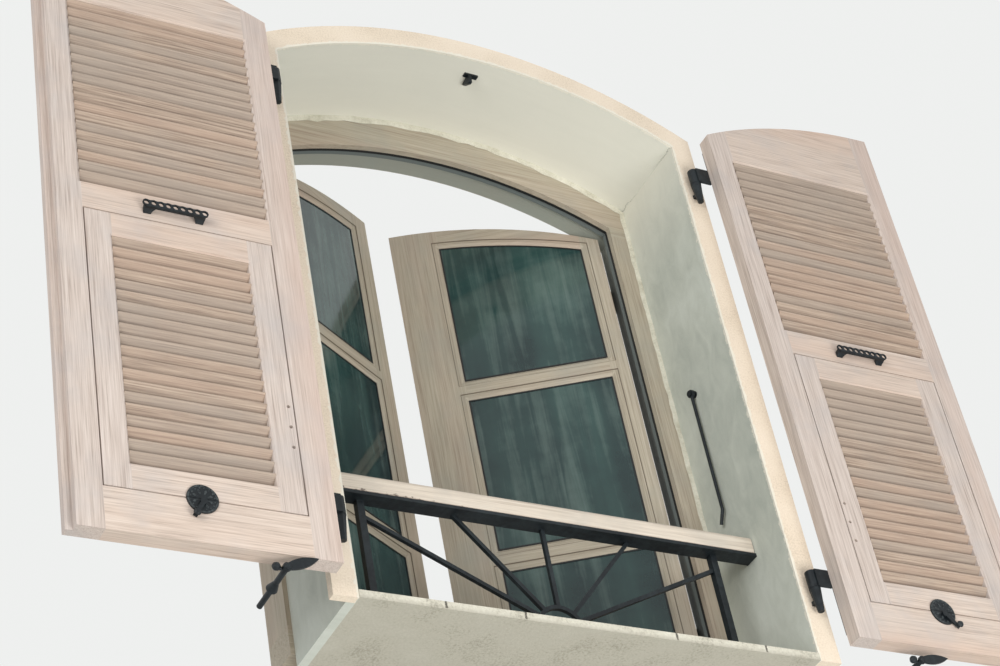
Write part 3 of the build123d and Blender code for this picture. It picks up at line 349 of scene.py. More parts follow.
woods = {
    "shutterUpright": woodFinish("limewashed upright", limewash, True),
    "shutterLevel": woodFinish("limewashed level", limewashRail, False),
    "slatsUpper": woodFinish("limewashed upper slats", slatWood, False, slats=upperRows),
    "slatsFlap": woodFinish("limewashed flap slats", slatWood, False, slats=flapRows),
    "frameUpright": woodFinish("frame wood upright", oiledWood, True, rebate=rebateShadeLook),
    "frameLevel": woodFinish("frame wood level", oiledWood, False, rebate=rebateShadeLook),
    "handrail": woodFinish("handrail wood", railWood, False, chips=railChips),
}
for side, turn in sashTurns.items():
    woods[side + "Stile"] = woodFinish("window wood stiles " + side, oiledWood, True, beads=side)
    woods[side + "Rails"] = woodFinish("window wood rails " + side, oiledWood, False, turn=turn, beads=side)
print("wood finishes made")

# lime plaster, with painted light making it paler up the soffit, and one crack where the arch springs from
# the right jamb
plasterLook = {
    "pale": (206, 209, 198), "mid": (193, 196, 184), "dark": (176, 180, 169), "stops": (0.36, 0.5, 0.64),
    "soffit": (229, 225, 211), "soffitFrom": 1.20, "soffitTo": 1.54, "soffitShare": 0.8,
    "crack": (128, 128, 118), "crackHalf": 0.0008, "crackWander": 0.020, "crackFromX": 0.40,
    "crackMiddle": 0.125, "crackEnds": (0.03, 0.11), "crackShare": 0.5, "crackDeep": 0.4,
}


def plasterColour(sheet):
    clouds = sheet.noise(scale=2.6, detail=4, rough=0.55, warp=0.3)
    trowel = sheet.noise(scale=1.6, detail=5, rough=0.6, warp=1.0, point=sheet.place(scale=(2.0, 14.0, 7.0)))
    sand = sheet.noise(scale=420.0, detail=2)
    colour = sheet.ramp(clouds * 0.55 + trowel * 0.35 + sand * 0.10, plasterLook["stops"],
                        plasterLook["dark"], plasterLook["mid"], plasterLook["pale"])
    # painted light: paler towards the top of the reveal and over the soffit
    soffit = sheet.fade(sheet.at("Z"), plasterLook["soffitFrom"], plasterLook["soffitTo"])
    colour = sheet.mix(soffit * plasterLook["soffitShare"], colour, plasterLook["soffit"])
    height = trowel * 0.6 + clouds * 0.25 + sand * 0.15
    # the crack opens towards both ends of the reveal's depth
    wander = sheet.noise(scale=34.0, detail=5, rough=0.75)
    level = sheet.at("Z") + (wander - 0.5) * plasterLook["crackWander"] - opening["springing"]
    crack = level.size() < plasterLook["crackHalf"]
    ends = sheet.fade((sheet.at("Y") - plasterLook["crackMiddle"]).size(), *plasterLook["crackEnds"])
    crack = crack * (sheet.at("X") > plasterLook["crackFromX"]) * ends
    colour = sheet.mix(crack * plasterLook["crackShare"], colour, plasterLook["crack"])
    return colour, height - crack * plasterLook["crackDeep"]


def plasterFinish():
    sheet = Sheet("lime plaster")
    colour, height = plasterColour(sheet)
    normal = sheet.bump(height, strength=0.25, distance=0.004)
    return sheet.finish(Base_Color=colour, Roughness=0.9, Normal=normal)


# cream render, which meets the plaster in a ragged pale arris round the opening
renderLook = {
    "pale": (238, 224, 204), "mid": (228, 212, 190), "dark": (202, 186, 163), "stops": (0.32, 0.48, 0.66),
    "inner": 0.0012, "innerRagged": 0.006,
    "arris": (234, 228, 212), "arrisWide": 0.0055, "arrisRagged": 0.028, "arrisShare": 0.8,
}


def renderFinish():
    sheet = Sheet("cream render")
    clouds = sheet.noise(scale=5.0, detail=5)
    sand = sheet.noise(scale=240.0, detail=3, rough=0.7)
    face = sheet.ramp(clouds * 0.45 + sand * 0.55, renderLook["stops"],
                      renderLook["dark"], renderLook["mid"], renderLook["pale"])
    plastered = plasterColour(sheet)[0]
    outside = aroundArris(sheet)
    ragged = sheet.noise(scale=60.0, detail=5, rough=0.75) - 0.5
    inner = (outside + ragged * renderLook["innerRagged"]) < renderLook["inner"]
    fromArris = outside.larger(0.0) + sheet.at("Y") + ragged * renderLook["arrisRagged"]
    arris = fromArris < renderLook["arrisWide"]
    colour = sheet.mix(inner, face, plastered)
    colour = sheet.mix(arris * renderLook["arrisShare"], colour, renderLook["arris"])
    normal = sheet.bump(sand * 0.6 + clouds * 0.4 + arris * 0.5, strength=0.5, distance=0.003)
    return sheet.finish(Base_Color=colour, Roughness=0.94, Normal=normal)


sillLook = {
    "pale": (216, 212, 196), "mid": (198, 193, 176), "dark": (146, 141, 126), "stops": (0.34, 0.48, 0.66),
    "joints": (-0.349, -0.172, 0.18, 0.40), "jointHalf": 0.0024, "jointRagged": 0.006, "jointFoot": -0.0215,
    "jointTone": (58, 54, 48), "jointShare": 0.85,
    "dirtFrom": -0.014, "dirtTo": -0.024, "dirtRagged": 0.012, "dirtShare": 0.5,
}


def sillFinish():
    sheet = Sheet("sill stone")
    clouds = sheet.noise(scale=9.0, detail=6)
    sand = sheet.noise(scale=180.0, detail=3, rough=0.7)
    colour = sheet.ramp(clouds * 0.55 + sand * 0.45, sillLook["stops"],
                        sillLook["dark"], sillLook["mid"], sillLook["pale"])
    along = sheet.at("X") + (sand - 0.5) * sillLook["jointRagged"]
    gap = sum((along - joint).size() < sillLook["jointHalf"] for joint in sillLook["joints"])
    gap = gap * (sheet.at("Z") > sillLook["jointFoot"])
    colour = sheet.mix(gap * sillLook["jointShare"], colour, sillLook["jointTone"])
    # dirt along the foot of the nosing
    level = sheet.at("Z") - (clouds - 0.5) * sillLook["dirtRagged"]
    dirt = sheet.fade(level, sillLook["dirtFrom"], sillLook["dirtTo"])
    colour = sheet.mix(dirt * sillLook["dirtShare"], colour, sillLook["dark"])
    normal = sheet.bump(sand * 0.4 + clouds * 0.6 - gap, strength=0.5, distance=0.003)
    return sheet.finish(Base_Color=colour, Roughness=0.88, Normal=normal)


mortarLook = {
    "pale": (220, 216, 200), "mid": (208, 204, 186), "dark": (188, 183, 163), "stops": (0.36, 0.5, 0.64),
}


def mortarFinish():
    sheet = Sheet("mortar lip")
    clouds = sheet.noise(scale=22.0, detail=5, rough=0.7)
    sand = sheet.noise(scale=260.0, detail=3)
    colour = sheet.ramp(clouds * 0.7 + sand * 0.3, mortarLook["stops"],
                        mortarLook["dark"], mortarLook["mid"], mortarLook["pale"])
    normal = sheet.bump(sand * 0.5 + clouds, strength=0.5, distance=0.002)
    return sheet.finish(Base_Color=colour, Roughness=0.92, Normal=normal)


# dark iron; its bare colour is the pale of rubbed wear and painted highlights
ironLook = {
    "body": (15, 21, 25), "dust": (40, 48, 51), "bare": (96, 104, 104), "stops": (0.44, 0.72),
    "rubStart": 0.5, "rubReach": 0.3, "rubEnd": 0.62, "rough": 0.5, "roughSwing": 0.3, "gloss": 0.35,
}


def ironFinish(name, wearAndHighlight):
    sheet = Sheet(name)
    forge = sheet.noise(scale=90.0, detail=3)
    dust = sheet.noise(scale=14.0, detail=5, rough=0.65)
    colour = sheet.ramp(dust * 0.6 + forge * 0.4, ironLook["stops"], ironLook["body"], ironLook["dust"])
    # rubbed wear and painted highlights: pale metal specks over the dark iron
    start = ironLook["rubStart"] - wearAndHighlight * ironLook["rubReach"]
    rubbedAndHighlit = sheet.fade(sheet.noise(scale=260.0, detail=3), start, ironLook["rubEnd"])
    colour = sheet.mix(rubbedAndHighlit * wearAndHighlight, colour, ironLook["bare"])
    rough = (dust - 0.5) * ironLook["roughSwing"] + ironLook["rough"]
    normal = sheet.bump(forge, strength=0.35, distance=0.0012)
    gloss = ironLook["gloss"]
    return sheet.finish(Base_Color=colour, Roughness=rough, Specular_IOR_Level=gloss, Normal=normal)


zincLook = {"name": "dull zinc", "body": (150, 150, 146), "rough": 0.34}
handleLook = {"name": "satin handle", "body": (176, 174, 168), "rough": 0.26}


def brushedFinish(look):
    sheet = Sheet(look["name"])
    brushed = sheet.noise(scale=3.0, detail=3, point=sheet.place(scale=(30, 30, 220)))
    darker = [c * 0.75 for c in look["body"]]
    tint = sheet.mix(brushed * 0.4, look["body"], darker)
    return sheet.finish(Base_Color=tint, Metallic=1.0, Roughness=brushed * 0.2 + look["rough"])


rubberLook = {
    "body": (12, 13, 14), "speck": (46, 48, 48), "old": (120, 128, 126), "oldShare": 0.75, "step": 0.2771,
}


def rubberFinish(name, weathered):
    # on the frame the proud front edge is black, and the soft part behind it has weathered grey
    sheet = Sheet(name)
    speck = sheet.noise(scale=160.0, detail=2)
    tint = sheet.mix(speck * 0.3, rubberLook["body"], rubberLook["speck"])
    if weathered:
        behind = sheet.at("Y") > rubberLook["step"]
        tint = sheet.mix(behind * rubberLook["oldShare"], tint, rubberLook["old"])
    normal = sheet.bump(speck, strength=0.2, distance=0.0005)
    return sheet.finish(Base_Color=tint, Roughness=0.6, Normal=normal)


spacerLook = {"pale": (118, 136, 130), "dark": (70, 86, 84)}


def spacerFinish():
    sheet = Sheet("pane spacer")
    speck = sheet.noise(scale=300.0, detail=2)
    tint = sheet.mix(speck * 0.5, spacerLook["pale"], spacerLook["dark"])
    return sheet.finish(Base_Color=tint, Roughness=speck * 0.2 + 0.4)


glassLook = {
    "body": (52, 80, 76), "deep": (26, 44, 46), "bodyFade": (0.36, 0.62),
    "haze": (120, 138, 130), "hazeFade": (0.48, 0.70), "hazeShare": 0.5, "hazeRough": 0.12, "hazeAlpha": 0.02,
    "alpha": 0.955, "rough": 0.06, "index": 1.5,
}


def glassFinish():
    # a sealed unit: tinted, with painted reflection in soft upright bands between a deep and a lighter tint,
    # and faint drip marks down its outer face
    sheet = Sheet("window glass")
    drips = sheet.noise(scale=1.5, detail=5, rough=0.62, warp=0.6, point=sheet.place(scale=(22, 22, 1.1)))
    reflectionBands = sheet.noise(scale=1.3, detail=3, rough=0.5, warp=0.4, point=sheet.place(scale=(7, 7, 0.35)))
    film = sheet.noise(scale=5.0, detail=5, rough=0.6)
    marks = sheet.fade(drips * 0.6 + film * 0.4, *glassLook["hazeFade"])
    # painted reflection: upright bands of lighter tint across the deep glass
    body = sheet.fade(reflectionBands * 0.6 + film * 0.4, *glassLook["bodyFade"])
    colour = sheet.mix(body, glassLook["deep"], glassLook["body"])
    colour = sheet.mix(marks * glassLook["hazeShare"], colour, glassLook["haze"])
    rough = marks * glassLook["hazeRough"] + glassLook["rough"]
    alpha = marks * glassLook["hazeAlpha"] + glassLook["alpha"]
    return sheet.finish(Base_Color=colour, Roughness=rough, Alpha=alpha, IOR=glassLook["index"])


iron = ironFinish("black iron", wearAndHighlight=0.0)
# the rosette reliefs and screw heads get rubbed wear with painted highlights
rubbedIronWithHighlights = ironFinish("rubbed iron", wearAndHighlight=0.4)
zinc = brushedFinish(zincLook)
frameRubber = rubberFinish("black rubber", weathered=True)
paneRubber = rubberFinish("pane rubber", weathered=False)
print("masonry and metal finishes made")

# the finish of each carried piece, by the first words of its name
finishes = {
    "reveal_lining": plasterFinish(), "wall_band": renderFinish(), "sill": sillFinish(),
    "handrail": woods["handrail"], "frame_jambs": woods["frameUpright"], "frame_head": woods["frameLevel"],
    "frame_bottom_rail": woods["frameLevel"], "frame_seal": frameRubber, "sash_panes": glassFinish(),
    "sash_hinge_leaves": zinc, "sash_hinge_pins": zinc, "sash_handle": brushedFinish(handleLook),
    "sash_hinge_stile_right": woods["rightStile"], "sash_hinge_stile_left": woods["leftStile"],
    "sash_meeting_stile_right": woods["rightStile"], "sash_meeting_stile_left": woods["leftStile"],
    "sash_rails_right": woods["rightRails"], "sash_rails_left": woods["leftRails"],
    "shutter_slats": woods["slatsUpper"], "flap_slats": woods["slatsFlap"],
    "shutter_hinge_stile": woods["shutterUpright"], "shutter_meeting_stile": woods["shutterUpright"],
    "flap_stiles": woods["shutterUpright"], "shutter_top_rail": woods["shutterLevel"],
    "shutter_lower_rails": woods["shutterLevel"], "flap_rails": woods["shutterLevel"],
}
for name, node in nodes.items():
    chosen = [finish for start, finish in finishes.items() if name.startswith(start)]
    node.data.materials.clear()
    node.data.materials.append(chosen[0] if chosen else iron)
print("finishes given to the carried pieces")


# modelling helpers
smoothAngle = radians(40)  # edges sharper than this stay crisp


def pick(piece):
    bpy.ops.object.select_all(action="DESELECT")
    piece.select_set(True)
    bpy.context.view_layer.objects.active = piece


def settle(piece):
    # puts the place, turn and scale into the mesh, and leaves the object at the origin
    pick(piece)
    bpy.ops.object.transform_apply(location=True, rotation=True, scale=True)


def editAll(piece):
    pick(piece)
    bpy.ops.object.mode_set(mode="EDIT")
    bpy.ops.mesh.select_all(action="SELECT")


def leaveEdit():
    bpy.ops.object.mode_set(mode="OBJECT")


def editFaces(piece, test):
    # goes into edit mode with the faces whose middle and normal pass the test
    editAll(piece)
    bpy.ops.mesh.select_mode(type="FACE")
    bpy.ops.mesh.select_all(action="DESELECT")
    leaveEdit()
    for face in piece.data.polygons:
        face.select = bool(test(face.center, face.normal))
    bpy.ops.object.mode_set(mode="EDIT")


def thicken(piece, shift):
    # the new corners stay selected
    editAll(piece)
    bpy.ops.mesh.extrude_region_move(TRANSFORM_OT_translate={"value": shift})
    leaveEdit()


def rightWay(piece):
    editAll(piece)
    bpy.ops.mesh.remove_doubles(threshold=0.00002)
    bpy.ops.mesh.normals_make_consistent(inside=False)
    leaveEdit()


def cutAway(piece, point, normal):
    # takes off what lies beyond a plane and closes the cut
    editAll(piece)
    bpy.ops.mesh.bisect(plane_co=point, plane_no=normal, use_fill=True, clear_outer=True)
    leaveEdit()


def modify(piece, kind, **settings):
    pick(piece)
    modifier = piece.modifiers.new(kind.lower(), kind)
    for key, value in settings.items():
        setattr(modifier, key, value)
    bpy.ops.object.modifier_apply(modifier=modifier.name)


def copyOf(piece, matrix):
    twin = piece.copy()
    twin.data = piece.data.copy()
    bpy.context.scene.collection.objects.link(twin)
    twin.data.transform(matrix)
    return twin


def joined(pieces):
    bpy.ops.object.select_all(action="DESELECT")
    for piece in pieces:
        piece.select_set(True)
    bpy.context.view_layer.objects.active = pieces[0]
    bpy.ops.object.join()
    return pieces[0]


def handOver(piece, name, body, material):
    piece.name = name
    piece.data.name = name
    piece.data.materials.clear()
    piece.data.materials.append(material)
    pick(piece)
    bpy.ops.object.shade_smooth_by_angle(angle=smoothAngle)
    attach(piece, body)


# mortar lip in the corner between the plaster and the frame
lip = {
    "rows": 150, "jamb": {"width": 0.011, "ripple": 0.22}, "head": {"width": 0.015, "ripple": 0.3},
    "thick": 0.004, "taper": 0.75, "swell": 0.4, "edgeSeed": 0.4, "swellSeed": 2.2, "clear": 0.0003,
    "backClear": 0.0002, "waves": ((0.45, 1.31, 1.0), (0.3, 3.7, 2.1), (0.25, 9.2, 0.7)),
}


def ripple(u, seed):
    # an even, repeatable unevenness, from waves given by height, rate and phase
    return sum(high * sin(rate * u + phase * seed) for high, rate, phase in lip["waves"])


def revealLine(share):
    # a point on the inner line of the reveal, from foot to foot, and the direction into the opening
    half, radius = opening["half"], opening["radius"]
    upright = opening["springing"] - opening["foot"]
    sweep = 2 * atan2(half, sqrt(radius ** 2 - half ** 2))
    arc = sweep * radius
    run = share * (2 * upright + arc)
    if run < upright:
        return -half, opening["foot"] + run, 1.0, 0.0
    if run > upright + arc:
        return half, opening["foot"] + 2 * upright + arc - run, -1.0, 0.0
    angle = (run - upright) / radius - sweep / 2
    middle = opening["crown"] - radius
    return radius * sin(angle), middle + radius * cos(angle), -sin(angle), -cos(angle)


def mortarLip():
    bpy.ops.mesh.primitive_grid_add(x_subdivisions=lip["rows"], y_subdivisions=2, size=1)
    strip = bpy.context.object
    for corner in strip.data.vertices:
        share = corner.co.x + 0.5
        reach = corner.co.y + 0.5
        x, z, inX, inZ = revealLine(share)
        edge = lip["head"] if inZ < -0.5 else lip["jamb"]  # under the arch the way in points down
        width = edge["width"] * reach * (1 + edge["ripple"] * ripple(share * lip["rows"], lip["edgeSeed"]))
        width += lip["clear"]
        swell = lip["thick"] * (1 - lip["taper"] * reach)
        swell *= 1 + lip["swell"] * ripple(share * lip["rows"], lip["swellSeed"])
        corner.co = (x + inX * width, opening["depth"] - lip["clear"] - swell, z + inZ * width)
    thicken(strip, (0, lip["thick"], 0))
    for corner in strip.data.vertices:
        if corner.select:
            corner.co.y = opening["depth"] - lip["backClear"]
    rightWay(strip)
    return strip


handOver(mortarLip(), "mortar_lip", "surround", mortarFinish())
print("mortar lip made")

# rosettes: a raised rim, petals and beads, in two halves that part with the flap
rosette = {
    "front": -0.074, "z": 0.0970, "right": 0.848, "left": -0.8715, "gap": 0.0012,
    "rimRadius": 0.0293, "rimWire": 0.0021, "rimFlat": 0.62,
    "petals": 8, "petalReach": 0.0158, "petalSize": (0.0062, 0.0013, 0.0031), "petalTaper": 0.28,
    "grooveHalf": 0.0016, "grooveDeep": 0.45,
    "beads": 16, "beadReach": 0.0247, "beadSize": 0.0019, "beadFlat": 0.7,
}


def rosettePetal():
    # narrow towards the middle of the flower, with a groove down the petal
    bpy.ops.mesh.primitive_uv_sphere_add(segments=10, ring_count=6, radius=1)
    petal = bpy.context.object
    petal.scale = rosette["petalSize"]
    settle(petal)
    for corner in petal.data.vertices:
        share = corner.co.x / rosette["petalSize"][0]
        corner.co.z *= 1 - rosette["petalTaper"] * (1 - share)
        fromGroove = min(1.0, abs(corner.co.z) / rosette["grooveHalf"])
        corner.co.y *= 1 - rosette["grooveDeep"] * (1 - fromGroove)
    return petal


def rosetteRelief(centre):
    bpy.ops.mesh.primitive_torus_add(major_segments=40, minor_segments=8, major_radius=rosette["rimRadius"],
                                     minor_radius=rosette["rimWire"], rotation=(pi / 2, 0, 0))
    rim = bpy.context.object
    rim.scale = (1, 1, rosette["rimFlat"])
    settle(rim)
    petal = rosettePetal()
    bpy.ops.mesh.primitive_uv_sphere_add(segments=8, ring_count=6, radius=rosette["beadSize"])
    bead = bpy.context.object
    bead.scale = (1, rosette["beadFlat"], 1)
    settle(bead)
    parts = [rim]
    for source, count, reach in ((petal, rosette["petals"], rosette["petalReach"]),
                                 (bead, rosette["beads"], rosette["beadReach"])):
        for k in range(count):
            turn = Matrix.Rotation(-(2 * k + 1) * pi / count, 4, "Y")
            parts.append(copyOf(source, turn @ Matrix.Translation((reach, 0, 0))))
        bpy.data.objects.remove(source)
    relief = joined(parts)
    relief.data.transform(Matrix.Translation(centre))
    cutAway(relief, centre, (0, 1, 0))
    return relief


for side in sides:
    centre = Vector((rosette[side], rosette["front"], rosette["z"]))
    whole = rosetteRelief(centre)
    for body, way in (("flap_" + side, 1), ("shutter_" + side, -1)):
        half = copyOf(whole, Matrix.Identity(4))
        cutAway(half, centre + Vector((0, 0, way * rosette["gap"] / 2)), (0, 0, -way))
        handOver(half, "rosette_relief_" + body, body, rubbedIronWithHighlights)
    bpy.data.objects.remove(whole)
print("rosette reliefs made")

# bridge handles: a deep bar of pierced links on two feet that flare into the bar
handle = {
    "z": 0.813, "front": -0.091, "barBack": -0.0872, "back": -0.0835, "wood": -0.0711, "round": 0.0009,
    "links": 9, "pitch": 0.01575, "hole": 0.0054, "half": 0.0072, "scallop": 0.0009, "end": 0.0712,
    "steps": 12, "tip": 0.0002, "drill": 0.05, "ribEnd": 0.064, "ribFoot": -0.0100, "ribTop": -0.0068,
    "footInner": 0.036, "footTaper": 0.012, "footOuter": 0.0668, "footLean": 0.002, "footBite": 0.0015,
    "drop": (0.0030, 0.0070), "footHalf": (0.0042, 0.0072),
}


def roundOff(piece):
    modify(piece, "BEVEL", width=handle["round"], segments=2, limit_method="ANGLE")


def handleBar():
    # drawn flat along the bar, scalloped between the links, then pierced
    steps = handle["steps"] * handle["links"]
    bpy.ops.mesh.primitive_grid_add(x_subdivisions=steps, y_subdivisions=1, size=1)
    bar = bpy.context.object
    widest = handle["half"] + handle["scallop"]
    for corner in bar.data.vertices:
        x = corner.co.x * 2 * handle["end"]
        half = handle["half"] + handle["scallop"] * cos(2 * pi * x / handle["pitch"])
        over = abs(x) - (handle["end"] - widest)
        if over > 0:
            half = min(half, sqrt(max(0.0, widest ** 2 - over ** 2)))
        half += handle["tip"]
        corner.co = (x, handle["front"], half if corner.co.y > 0 else -half)
    thicken(bar, (0, handle["barBack"] - handle["front"], 0))
    rightWay(bar)
    drills = []
    for link in range(handle["links"]):
        x = (link - (handle["links"] - 1) / 2) * handle["pitch"]
        bpy.ops.mesh.primitive_cylinder_add(vertices=20, radius=handle["hole"], depth=handle["drill"],
                                            location=(x, handle["front"], 0), rotation=(pi / 2, 0, 0))
        drills.append(bpy.context.object)
        settle(drills[-1])
    drill = joined(drills)
    modify(bar, "BOOLEAN", operation="DIFFERENCE", solver="EXACT", object=drill)
    bpy.data.objects.remove(drill)
    return bar


def handleRib():
    # the thicker lower edge of the bar, rounded off
    bpy.ops.mesh.primitive_cube_add(size=1)
    rib = bpy.context.object
    front, back, foot, top = (handle[key] for key in ("front", "back", "ribFoot", "ribTop"))
    rib.scale = (2 * handle["ribEnd"], back - front, top - foot)
    rib.location = (0, (back + front) / 2, (top + foot) / 2)
    settle(rib)
    roundOff(rib)
    return rib


def handleFoot(way):
    # seen from above it narrows from the bar to its pad on the wood, with a hollow inner side
    start = handle["back"] - handle["footBite"]

    def levels(deep):
        # its lower and upper face, this far from the bar to the wood
        (nearDrop, farDrop), (nearHalf, farHalf) = handle["drop"], handle["footHalf"]
        drop = nearDrop + (farDrop - nearDrop) * deep
        half = nearHalf + (farHalf - nearHalf) * deep
        return -drop - half, half - drop

    bpy.ops.mesh.primitive_grid_add(x_subdivisions=3, y_subdivisions=8, size=1)
    foot = bpy.context.object
    for corner in foot.data.vertices:
        across, deep = corner.co.x + 0.5, corner.co.y + 0.5
        inner = handle["footInner"] + handle["footTaper"] * (1 - (1 - deep) ** 2)
        x = inner + (handle["footOuter"] - handle["footLean"] * deep - inner) * across
        corner.co = (way * x, start + (handle["wood"] - start) * deep, levels(deep)[0])
    thicken(foot, (0, 0, handle["footBite"]))
    for corner in foot.data.vertices:
        if corner.select:
            corner.co.z = levels((corner.co.y - start) / (handle["wood"] - start))[1]
    rightWay(foot)
    roundOff(foot)
    return foot


wholeHandle = joined([handleBar(), handleRib(), handleFoot(1), handleFoot(-1)])
for side in sides:
    placed = copyOf(wholeHandle, Matrix.Translation((rosette[side], 0, handle["z"])))
    handOver(placed, "bridge_handle_" + side, "shutter_" + side, iron)
    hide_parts("shutter_handle_" + side)
bpy.data.objects.remove(wholeHandle)
print("bridge handles made")

# glazing: a black seal round each pane and the spacer bar that shows inside it
glazing = {
    "level": -0.055, "lift": 0.0002, "crownSteps": 14,
    "seal": {"inset": 0, "wide": 0.0038, "deep": 0.0012},
    "spacer": {"inset": 0.0095, "wide": 0.0022, "deep": 0.0004},
}


def sashPlace(side):
    # local x from the hinge to the meeting edge, local y up, local z outwards
    turn = abs(sashTurns[side])
    across = Vector((-cos(turn) * sides[side], sin(turn), 0))
    out = Vector((-sin(turn) * sides[side], -cos(turn), 0))
    place = Matrix((across, Vector((0, 0, 1)), out)).transposed().to_4x4()
    return Matrix.Translation((lights["axis"][0] * sides[side], lights["axis"][1], 0)) @ place


def paneRing(side, light, kind):
    # a thin ring along the sight line of one light, drawn flat and then set in the sash
    low, high = lights["feet"][light], lights["heads"][light]
    left, right = lights["hinge"], lights["sight"][side]
    radius = lights["crownRadius"]
    bpy.ops.mesh.primitive_grid_add(x_subdivisions=glazing["crownSteps"], y_subdivisions=1, size=1)
    ring = bpy.context.object
    for corner in ring.data.vertices:
        x = left + (right - left) * (corner.co.x + 0.5)
        drop = radius - sqrt(radius ** 2 - (lights["axis"][0] - x) ** 2) if light == 0 else 0
        corner.co = (x, high - drop if corner.co.y > 0 else low, 0)
    editAll(ring)
    bpy.ops.mesh.dissolve_limited(angle_limit=0.0001)
    bpy.ops.mesh.select_all(action="SELECT")
    bpy.ops.mesh.dissolve_faces()
    bpy.ops.mesh.select_all(action="SELECT")
    if kind["inset"]:
        bpy.ops.mesh.inset(thickness=kind["inset"])
        bpy.ops.mesh.select_all(action="INVERT")
        bpy.ops.mesh.delete(type="FACE")
        bpy.ops.mesh.select_all(action="SELECT")
    bpy.ops.mesh.inset(thickness=kind["wide"])
    bpy.ops.mesh.delete(type="FACE")
    leaveEdit()
    thicken(ring, (0, 0, kind["deep"]))
    ring.data.transform(Matrix.Translation((0, 0, glazing["lift"] - glazing["level"])))
    ring.data.transform(sashPlace(side))
    return ring


spacerBar = spacerFinish()
rings = (("glazing_seal_", glazing["seal"], paneRubber), ("pane_spacer_", glazing["spacer"], spacerBar))
for side in sides:
    for name, kind, material in rings:
        ring = joined([paneRing(side, light, kind) for light in range(len(lights["feet"]))])
        rightWay(ring)
        handOver(ring, name + side, "sash_" + side, material)
print("glazing seals and spacers made")

# screws: one head with a sunk slot, copied along each strap plate
screw = {
    "radius": 0.0048, "height": 0.0016, "rim": 0.28, "dish": 0.35, "slotWide": 0.0012, "slotDeep": 0.0009,
    "plateY": -0.029, "turnStep": 47, "sideTurn": 20,
    "places": ((0.616, 0.047), (0.616, 0.118), (0.690, 0.047), (0.772, 0.047),
               (0.616, 1.428), (0.616, 1.398), (0.690, 1.428), (0.772, 1.428)),
}


def screwHead():
    bpy.ops.mesh.primitive_cylinder_add(vertices=20, radius=screw["radius"], depth=screw["height"],
                                        location=(0, 0, screw["height"] / 2))
    head = bpy.context.object
    settle(head)
    editFaces(head, lambda middle, normal: normal.z > 0.9)  # the face that looks up
    bpy.ops.mesh.inset(thickness=screw["radius"] * screw["rim"], depth=screw["height"] * screw["dish"])
    for edge in (-1, 1):
        bpy.ops.mesh.select_all(action="SELECT")
        bpy.ops.mesh.bisect(plane_co=(0, edge * screw["slotWide"] / 2, 0), plane_no=(0, 1, 0))
    leaveEdit()
    editFaces(head, lambda middle, normal: normal.z > 0.9 and abs(middle.y) < screw["slotWide"] / 2)
    bpy.ops.mesh.extrude_region_move(TRANSFORM_OT_translate={"value": (0, 0, -screw["slotDeep"])})
    leaveEdit()
    rightWay(head)
    return head


patternHead = screwHead()
for side, way in sides.items():
    heads = []
    for number, (x, z) in enumerate(screw["places"]):
        slotTurn = Matrix.Rotation(radians(screw["turnStep"] * number + screw["sideTurn"] * way), 4, "Z")
        stand = Matrix.Rotation(-pi / 2, 4, "X")
        place = Matrix.Translation((way * x, screw["plateY"], z))
        heads.append(copyOf(patternHead, place @ stand @ slotTurn))
    handOver(joined(heads), "strap_screws_" + side, "shutter_" + side, rubbedIronWithHighlights)
bpy.data.objects.remove(patternHead)
print("screws made")

# floor, light and camera
studio = {
    "floorZ": -3.8, "floorSize": 26.0, "floorTint": (226, 226, 222), "floorRough": 0.8,
    "behind": (0.86, 0.87, 0.86, 1), "skyTint": (0.93, 0.96, 1.0, 1), "sky": 0.6,
}
lamps = (
    {"name": "big soft lamp", "place": (-6.6, -4.6, 0.6), "aim": (0.2, 0.0, 0.8), "size": 4.5, "power": 300},
    {"name": "low fill", "place": (0.7, -3.4, -3.3), "aim": (0.1, 0.1, 1.0), "size": 3.0, "power": 215},
    {"name": "back fill", "place": (1.0, 3.6, 2.4), "aim": (0.0, 0.3, 0.8), "size": 2.6, "power": 40},
)
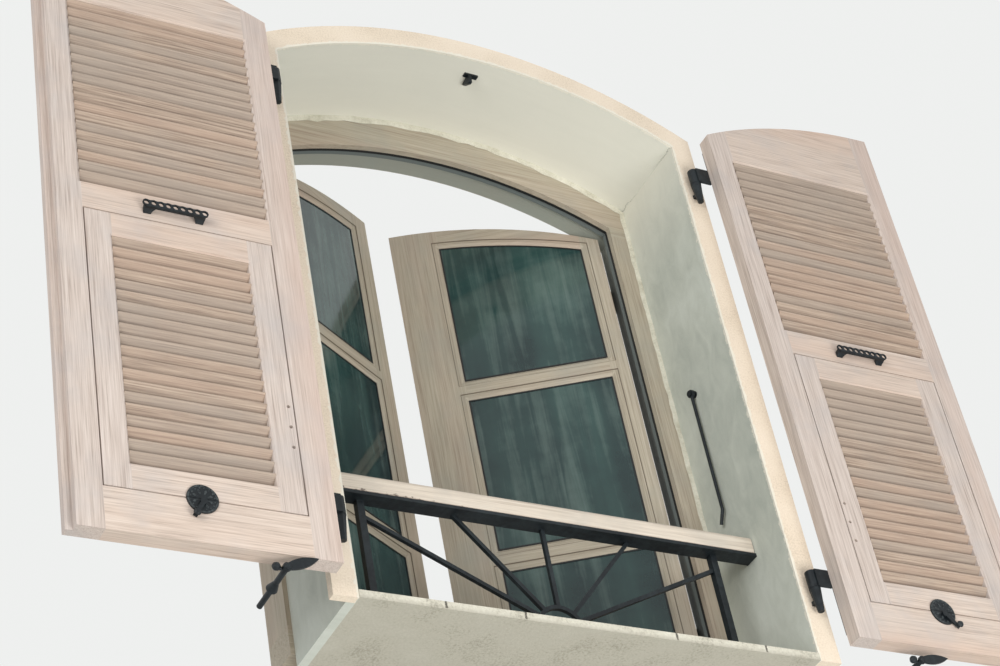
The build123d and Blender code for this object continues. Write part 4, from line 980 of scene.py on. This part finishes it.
# the camera looks up from the lower left, with its horizon tipped by the roll
view = {
    "place": (-2.3853, -3.3211, -2.4570), "azimuth": 34.6326, "elevation": 38.3083, "roll": -11.9856,
    "lens": 84.9485, "sensor": 36.0, "farClip": 60.0,
}

bpy.ops.mesh.primitive_plane_add(size=studio["floorSize"], location=(0, 0, studio["floorZ"]))
floor = bpy.context.object
floor.name = "floor"
sheet = Sheet("plain floor")
matt = sheet.finish(Base_Color=tone(*studio["floorTint"]), Roughness=studio["floorRough"])
floor.data.materials.append(matt)
settle(floor)

# the sky lights the object, and the camera, glass and metal see a pale backdrop instead
sheet = Sheet("soft sky", bpy.data.worlds)
bpy.context.scene.world = sheet.owner
seen = sheet.node("ShaderNodeLightPath", out="Is Camera Ray")
for ray in ("Is Transmission Ray", "Is Glossy Ray"):
    seen = seen.larger(sheet.node("ShaderNodeLightPath", out=ray))
sky = sheet.node("ShaderNodeBackground", {}, {"Color": studio["skyTint"], "Strength": studio["sky"]})
backdrop = sheet.node("ShaderNodeBackground", {}, {"Color": studio["behind"]})
choice = sheet.node("ShaderNodeMixShader", {}, {0: seen, 1: sky, 2: backdrop})
sheet.node("ShaderNodeOutputWorld", {}, {"Surface": choice})

for lamp in lamps:
    data = bpy.data.lights.new(lamp["name"], "AREA")
    data.shape = "DISK"
    data.size = lamp["size"]
    data.energy = lamp["power"]
    light = bpy.data.objects.new(lamp["name"], data)
    bpy.context.scene.collection.objects.link(light)
    light.location = lamp["place"]
    light.rotation_euler = (Vector(lamp["aim"]) - Vector(lamp["place"])).to_track_quat("-Z", "Y").to_euler()

cameraData = bpy.data.cameras.new("camera")
cameraData.lens = view["lens"]
cameraData.sensor_width = view["sensor"]
cameraData.clip_end = view["farClip"]
camera = bpy.data.objects.new("camera", cameraData)
bpy.context.scene.collection.objects.link(camera)
heading = Matrix.Rotation(-radians(view["azimuth"]), 4, "Z")
lift = Matrix.Rotation(radians(90 + view["elevation"]), 4, "X")
roll = Matrix.Rotation(radians(view["roll"]), 4, "Z")
camera.matrix_world = Matrix.Translation(view["place"]) @ heading @ lift @ roll
bpy.context.scene.camera = camera
bpy.context.scene.view_settings.view_transform = "Standard"
print("floor, lamps and camera set")
